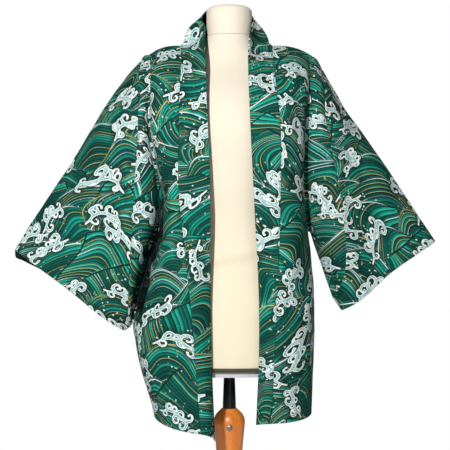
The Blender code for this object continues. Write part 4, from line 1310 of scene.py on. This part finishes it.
# %% [markdown]
# ## The dress form and its stand
# The form is a padded torso under a stretched cream cover, with a round neck piece on top and a
# board under it. Below, a black pole slides into a turned wooden column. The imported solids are
# faceted, so all but the clamp screw are made again from their outlines with many more steps, at the
# same size.

# %% Turned and lofted pieces
TURNED_SIDES = 96
SMOOTH_ANGLE = math.radians(35)


def finish_piece(name, mesh, material, node):
    bmesh.ops.recalc_face_normals(mesh, faces=mesh.faces)
    data = bpy.data.meshes.new(name)
    mesh.to_mesh(data)
    mesh.free()
    data.materials.append(material)
    data.shade_smooth()
    data.set_sharp_from_angle(angle=SMOOTH_ANGLE)
    return new_piece(name, data, node)


def loft(rings):
    """A closed form through rings of points, from the lowest up."""
    mesh = bmesh.new()
    rows = [[mesh.verts.new(np.array(place) * MM) for place in ring] for ring in rings]
    for low, high in zip(rows, rows[1:]):
        for k in range(len(low)):
            j = (k + 1) % len(low)
            mesh.faces.new((low[k], low[j], high[j], high[k]))
    mesh.faces.new(rows[0][::-1])
    mesh.faces.new(rows[-1])
    return mesh


def turned(profile):
    """A form turned from (radius, height) pairs, listed top to bottom, with flat ends."""
    angles = np.linspace(0, 2 * math.pi, TURNED_SIDES, endpoint=False)
    return loft([
        [(radius * math.cos(a), radius * math.sin(a), height) for a in angles]
        for radius, height in reversed(profile)
    ])


def rounded_edge(radius, top, rounding, steps=10):
    """The profile of a rounded top edge, from its flat top out to its side."""
    angles = np.radians(np.linspace(90, 0, steps + 1))
    centre = radius - rounding, top - rounding
    return [(centre[0] + rounding * math.cos(a), centre[1] + rounding * math.sin(a)) for a in angles]


# %% [markdown]
# ## The form's cover, board, wood and steel
# The cover is a cream jersey, stretched smooth, with a faint seam and a slight yellowing towards the
# hem; painted shade darkens a faint crease round it and a band at its foot. The board is matt white.
# The wood is beech under orange varnish: its grain runs along the column in long streaks. The pole
# has a satin black coat.

# %% Materials of the form and the stand
CREASE_SHADE_HEIGHT, CREASE_SHADE_SLOPE = 0.943, 0.2  # of the faint crease round the cover, painted as a line of shade, in metres
NECK_SEAM = 1.4325
FOOT_SHADE = (0.719, 0.7165)  # where the painted shade at the cover's foot fades in


def form_cover():
    material, graph, shader = new_material(
        "form cover", roughness=0.92, sheen_weight=0.2, specular_ior_level=0.25
    )
    place = graph.place()
    across, _, up = graph.parts(place)
    tilted = graph.math("MULTIPLY_ADD", across, -CREASE_SHADE_SLOPE, graph.minus(up, CREASE_SHADE_HEIGHT))
    crease = graph.under(graph.size_of(tilted), 0.008, 0.008)
    seam = graph.under(graph.size_of(graph.minus(up, NECK_SEAM)), 0.0008, 0.0006)
    cream = graph.layers(
        (0.635, 0.575, 0.47),
        (graph.ramp(up, 1.3, 0.76), (0.665, 0.60, 0.437)),
        (graph.ramp(graph.noise(place, 9.0, 5.0), 0.5, 0.8, 0.0, 0.35), (0.57, 0.51, 0.36)),
        # painted shade along the faint crease round the cover
        (graph.times(crease, 0.28), (0.44, 0.4, 0.28)),
        (graph.times(seam, 0.5), (0.2, 0.16, 0.09)),
        # painted shade: a near-black band where the cover rounds under at its foot
        (graph.ramp(up, *FOOT_SHADE, 0.0, 0.93), (0.008, 0.0065, 0.002)),
    )
    graph.feed(shader["Base Color"], cream)
    add_weave(graph, shader, place, 3600.0, 0.22, 0.0003)
    return material


def form_board_paint():
    material, graph, shader = new_material("board paint", roughness=0.6)
    scuffs = graph.noise(graph.place(), 60.0, 4.0)
    worn = graph.ramp(scuffs, 0.55, 0.75, 0.0, 0.5)
    graph.feed(shader["Base Color"], graph.layers((0.46, 0.45, 0.47), (worn, (0.36, 0.35, 0.34))))
    graph.bump(shader, scuffs, 0.1, 0.0005)
    return material


def varnished_wood():
    material, graph, shader = new_material(
        "varnished wood", roughness=0.42, coat_weight=0.32, coat_roughness=0.07
    )
    place = graph.place()
    along = graph.stretched(place, (34.0, 34.0, 2.6), (0.06, 0.04, 0.0))
    grain = graph.ramp(graph.noise(along, 1.0, 6.0, 0.7), 0.34, 0.66)
    pores = graph.noise(graph.stretched(place, (900.0, 900.0, 45.0)), 1.0, 2.0)
    specks = graph.ramp(pores, 0.6, 0.7, 0.0, 0.5)
    orange = graph.layers(
        (0.7, 0.22, 0.018), (grain, (0.5, 0.115, 0.006)), (specks, (0.24, 0.065, 0.012))
    )
    graph.feed(shader["Base Color"], orange)
    graph.bump(shader, pores, 0.05, 0.0004)
    return material


def metal(name, color, roughness, metallic, scratch):
    material, graph, shader = new_material(name, metallic=metallic)
    marks = graph.noise(graph.stretched(graph.place(), (420.0, 420.0, 30.0)), 1.0, 3.0)
    lighter = tuple(min(1.0, value * 1.8 + 0.04) for value in color)
    worn = graph.ramp(marks, 0.62, 0.74, 0.0, scratch)
    graph.feed(shader["Base Color"], graph.layers(color, (worn, lighter)))
    graph.feed(shader["Roughness"], graph.ramp(marks, 0.0, 1.0, roughness * 0.8, roughness * 1.3))
    return material


cover, board, wood = form_cover(), form_board_paint(), varnished_wood()
black = metal("black coat", (0.004, 0.005, 0.006), 0.24, 0.0, 0.12)
steel = metal("screw steel", (0.26, 0.26, 0.26), 0.34, 1.0, 0.4)
print("materials:", ", ".join(material.name for material in (cover, board, wood, black, steel)))

# %% [markdown]
# ### Their outlines
# The torso is a loft through a few sections, each an oval that is deeper in front or behind. Neck,
# pole, column and base are turned from an outline, as on a lathe. The column's shoulder and shaft are
# two tables, read at many heights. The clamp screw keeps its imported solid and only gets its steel.

# %% Sizes of the form and the stand, in millimetres
Section = namedtuple("Section", "height width front back")
TORSO = table(
    Section, (1432, 50.5, -50.5, 50.5), (1426, 53, -51, 52), (1417, 57, -51, 53), (1402, 68, -50, 54),
    (1384, 96, -51, 56), (1365, 128, -56, 64), (1340, 148, -70, 80), (1300, 152, -96, 100),
    (1250, 144, -116, 106), (1200, 138, -121, 104), (1110, 130, -112, 96), (1030, 122, -102, 92),
    (930, 148, -110, 110), (850, 168, -118, 122), (790, 170, -119, 123), (725, 168, -118, 119),
    (714, 166, -116, 116), (708, 160, -110, 110),
)
TORSO_SIDES = 128
TORSO_SQUARENESS = 2.1
SECTION_STEP = 6
STEPS_FROM, STEPS_TO = 30, 20  # no extra rings this near its foot and its top
GAP = 0.3  # left between pieces that stand on each other
AXIS = 0.001  # a ring this small stands for the axis
NECK_RADIUS, NECK_TOP, NECK_ROUND = 50, 1497.5, 12
BOARD_THICK, BOARD_INSET = 11, 7
POLE_TOP_RADIUS, POLE_RADIUS, POLE_IN_HEAD, POLE_NECK = 12.2, 14.4, 70, 10
HEAD_TOP, BORE_BEVEL = 617, 1.5
SHOULDER_STEPS, SHAFT_STEPS = 18, 60
BASE_RADIUS, BASE_THICK, BASE_ROUND, BASE_BEVEL = 175, 22, 9, 3
Turning = namedtuple("Turning", "radius height")
SHOULDER = table(
    Turning, (16, 617), (17.5, 615.6), (21.3, 612), (25.2, 608.2), (28.8, 604), (31.7, 599),
    (33.5, 593.5), (34.2, 588.5), (34.3, 585),
)
COLUMN = table(
    Turning, (34.3, 585), (32.9, 569), (29, 524), (25, 440), (21.5, 330), (20, 220), (21, 120),
    (24, 60), (30, 36), (32, 30),
)


def section_ring(section, inset=0.0):
    ring = []
    power = 2 / TORSO_SQUARENESS
    for angle in np.linspace(0, 2 * math.pi, TORSO_SIDES, endpoint=False):
        across, along = math.cos(angle), math.sin(angle)
        depth = section.back if along > 0 else -section.front
        x = math.copysign(abs(across) ** power, across) * (section.width - inset)
        y = math.copysign(abs(along) ** power, along) * (depth - inset)
        ring.append((x, y, section.height))
    return ring


def make_form():
    top, bottom = TORSO[0], TORSO[-1]
    heights = {section.height for section in TORSO}
    heights |= set(np.arange(bottom.height + STEPS_FROM, top.height - STEPS_TO, SECTION_STEP))
    rings = [section_ring(read_table(TORSO, height)) for height in sorted(heights)]
    finish_piece("torso_cover", loft(rings), cover, "form_torso")
    rim = rounded_edge(NECK_RADIUS, NECK_TOP, NECK_ROUND)
    neck = [(AXIS, NECK_TOP), *rim, (NECK_RADIUS, top.height + GAP)]
    finish_piece("neck_cover", turned(neck), cover, "form_neck")
    under = [
        section_ring(bottom._replace(height=bottom.height - GAP - drop), BOARD_INSET)
        for drop in (BOARD_THICK, 0)
    ]
    finish_piece("board", loft(under), board, "form_board")


def make_stand():
    top = TORSO[-1].height - BOARD_THICK - 2 * GAP
    pole = [
        (POLE_TOP_RADIUS, top),
        (POLE_TOP_RADIUS, top - POLE_NECK),
        (POLE_RADIUS, HEAD_TOP + POLE_NECK),
        (POLE_RADIUS, HEAD_TOP - POLE_IN_HEAD),
    ]
    finish_piece("black_pole", turned(pole), black, "pole")
    head_heights = np.linspace(HEAD_TOP, COLUMN[0].height, SHOULDER_STEPS, endpoint=False)
    shaft_heights = np.linspace(COLUMN[0].height, COLUMN[-1].height, SHAFT_STEPS)
    bore = POLE_RADIUS + GAP
    floor = HEAD_TOP - POLE_IN_HEAD - GAP
    profile = [
        (AXIS, floor),
        (bore, floor),
        (bore, HEAD_TOP - BORE_BEVEL),
        *((read_table(SHOULDER, height).radius, height) for height in head_heights),
        *((read_table(COLUMN, height).radius, height) for height in shaft_heights),
        (COLUMN[-1].radius, BASE_THICK + GAP),
    ]
    finish_piece("wooden_column", turned(profile), wood, "stand_column")
    edge = rounded_edge(BASE_RADIUS, BASE_THICK, BASE_ROUND)
    base = [*edge, (BASE_RADIUS, BASE_BEVEL), (BASE_RADIUS - BASE_BEVEL, 0)]
    finish_piece("wooden_base", turned(base), wood, "stand_base")


make_form()
make_stand()
screw = frame["nodes"]["stand_screw"]
screw.data.materials.clear()
screw.data.materials.append(steel)

# %% [markdown]
# ## Stitches
# The hems and cuffs are turned in and sewn with one row of thread, and the band is edge-stitched
# where it meets the panels. A row of stitches is the same small bar, again and again, along a line on
# the cloth: a job for Geometry Nodes. The tree resamples a line to the stitch spacing, puts a bar on
# each point and turns it along the line. The result is made a plain mesh, because the export drops
# instances.

# %% A tree that sews along a line
STITCHES = {"Spacing": 2.6 * MM, "Length": 1.9 * MM, "Radius": 0.22 * MM}
HEM_DEPTH = 18  # millimetres from the edge to the row of stitches
OFF_CLOTH = 0.15


def stitch_tree(thread):
    graph = Graph(bpy.data.node_groups.new("row of stitches", "GeometryNodeTree"))
    face = graph.tree.interface
    face.new_socket("Geometry", in_out="INPUT", socket_type="NodeSocketGeometry")
    for name, value in STITCHES.items():
        face.new_socket(name, in_out="INPUT", socket_type="NodeSocketFloat").default_value = value
    face.new_socket("Geometry", in_out="OUTPUT", socket_type="NodeSocketGeometry")
    given, result = graph.node("NodeGroupInput").outputs, graph.node("NodeGroupOutput").inputs

    def step(kind, inputs, **settings):
        return graph.node(kind, inputs, **settings).outputs

    line = step("GeometryNodeMeshToCurve", {"Mesh": given["Geometry"]})[0]
    points = step("GeometryNodeCurveToPoints", {"Curve": line, "Length": given["Spacing"]}, mode="LENGTH")
    size = {"Vertices": 5, "Radius": given["Radius"], "Depth": given["Length"]}
    bar = step("GeometryNodeMeshCylinder", size)[0]
    along = step("FunctionNodeAlignRotationToVector", {"Vector": points["Tangent"]}, axis="Z")[0]
    placed = {"Points": points["Points"], "Instance": bar, "Rotation": along}
    sewn = step("GeometryNodeInstanceOnPoints", placed)[0]
    real = step("GeometryNodeRealizeInstances", {"Geometry": sewn})[0]
    done = step("GeometryNodeSetMaterial", {"Geometry": real, "Material": thread})[0]
    graph.feed(result[0], done)
    return graph.tree


def thread_material():
    material, graph, shader = new_material("green thread", roughness=0.7, sheen_weight=0.2)
    twist = graph.noise(graph.place(), 2500.0, 1.0)
    graph.feed(shader["Base Color"], graph.layers((0.006, 0.05, 0.04), (twist, (0.02, 0.15, 0.11))))
    return material


# %% [markdown]
# ### Where the stitches run
# The hem and cuff rows follow a row of the cloth's own points, a set way up from the edge, and the
# band's follows a column close to its seam. Lifted a hair's breadth, they lie on the cloth.

# %% Sew the hems, the cuffs and the band
def sew(name, lines, tree):
    """Stitches along lines of points in millimetres, as one plain mesh that rides with the cloth."""
    points, edges = [], []
    for line in lines:
        edges += [(len(points) + k, len(points) + k + 1) for k in range(len(line) - 1)]
        points += [list(np.array(place) * MM) for place in line]
    data = bpy.data.meshes.new(name)
    data.from_pydata(points, edges, [])
    guide = new_object(f"{name}_guide", data)
    modifier = guide.modifiers.new("sew", "NODES")
    modifier.node_group = tree
    named = {item.name: item.identifier for item in tree.interface.items_tree}
    modifier[named["Spacing"]] = STITCHES["Spacing"]
    made = guide.evaluated_get(bpy.context.evaluated_depsgraph_get())
    mesh = bpy.data.meshes.new_from_object(made)
    bpy.data.objects.remove(guide)
    new_piece(name, mesh)
    print(f"{name}: {len(mesh.polygons)} faces")


def off_cloth(made, rows, cols):
    """Points of a panel's face at some rows and columns, a hair's breadth off the cloth."""
    rows, cols = np.broadcast_arrays(rows, cols)
    line = made.face[rows, cols]
    last_row, last_col = np.array(made.inside.shape[:2]) - 1
    behind = made.inside[
        np.minimum(rows // INSIDE_STEP, last_row), np.minimum(cols // INSIDE_STEP, last_col)
    ]
    away = surface_normals(made.face, lambda space: np.zeros(3), made.ring)[0][rows, cols]
    side = np.sign(((line - behind) * away).sum(axis=1, keepdims=True))
    return line + away * side * OFF_CLOTH


def hem_line(made):
    """A line across a panel, as far up from its last row as the stitches are from the edge."""
    middle = made.face[:, made.face.shape[1] // 2]
    run = np.cumsum(np.linalg.norm(np.diff(middle[::-1], axis=0), axis=1))
    row = len(middle) - 2 - int(np.searchsorted(run, HEM_DEPTH))
    return off_cloth(made, row, np.arange(0 if made.ring else 2, made.face.shape[1] - 2))


sewing = stitch_tree(thread_material())
rows_of_stitches = {
    **{f"hem_stitches_{side}": panels for side, panels in fronts.items()},
    "hem_stitches_back": back_panels,
    **{f"cuff_stitches_{side}": panels for side, panels in sleeves.items()},
}
for name, panels in rows_of_stitches.items():
    sew(name, [hem_line(made) for made in panels], sewing)
sew("band_stitches", [off_cloth(band, np.arange(3, len(band.face) - 3), 2)], sewing)

# %% [markdown]
# ## The size each piece was cut to
# Each piece of cloth keeps the size it was cut to, its panels' area laid flat, as cloth_area. A sleeve
# is a tube, so its size is its length and the whole way round. The turnings at the hem, the cuffs and
# the seams are left out, because the pieces here show one layer.

# %% [markdown]
# ## Floor, light and camera
# A pale floor and a white surround keep the colours true. The main light is small and stands to the
# left in front, so that the left front edge casts a clear shadow on the form. A weak one fills in from
# the right, and one lights the back. The camera stands level with the middle of the jacket.

# %% Stage
FLOOR_RADIUS = 2.55
SURROUND_LIGHT = 0.13  # the surround as a light; the camera sees it white
CAMERA_AWAY = 2.55
VIEW_WIDTH = 0.99  # metres across the picture at the form's middle
CAMERA_SIDE, CAMERA_HEIGHT = -0.0095, 1.0193
SENSOR = 36.0

floor_mesh = bmesh.new()
bmesh.ops.create_circle(floor_mesh, cap_ends=True, segments=128, radius=FLOOR_RADIUS)
floor = new_object("floor", bpy.data.meshes.new("floor"))
floor_mesh.to_mesh(floor.data)
floor_mesh.free()
floor_paint = new_material("pale floor", roughness=0.9, base_color=(0.9, 0.9, 0.9, 1.0))[0]
floor.data.materials.append(floor_paint)

world = bpy.data.worlds.new("surround")
world.use_nodes = True
sky = Graph(world.node_tree)
seen = sky.node("ShaderNodeLightPath").outputs["Is Camera Ray"]
background = world.node_tree.nodes["Background"].inputs
background["Color"].default_value = (1.0, 1.0, 1.0, 1.0)
sky.feed(background["Strength"], sky.ramp(seen, 0.0, 1.0, SURROUND_LIGHT, 1.0))
bpy.context.scene.world = world


def soft_light(name, place, target, size, power):
    data = bpy.data.lights.new(name, "AREA")
    data.shape = "DISK"
    data.size = size
    data.energy = power
    obj = new_object(name, data)
    obj.location = place
    obj.rotation_euler = (Vector(target) - Vector(place)).to_track_quat("-Z", "Y").to_euler()


soft_light("key", (-0.68, -2.4, 2.0), (0.0, 0.0, 1.05), 0.15, 90)
soft_light("fill", (1.2, -2.9, 1.2), (0.0, 0.0, 1.0), 1.4, 7)
soft_light("back", (0.6, 2.8, 2.3), (0.0, 0.0, 1.0), 1.8, 55)

camera = new_object("camera", bpy.data.cameras.new("camera"))
camera.data.sensor_width = SENSOR
camera.data.lens = SENSOR * CAMERA_AWAY / VIEW_WIDTH
camera.location = (CAMERA_SIDE, -CAMERA_AWAY, CAMERA_HEIGHT)
camera.rotation_euler = (math.radians(90), 0, 0)
bpy.context.scene.camera = camera
bpy.context.scene.view_settings.view_transform = "Standard"
print("camera lens:", round(camera.data.lens, 2), "mm")
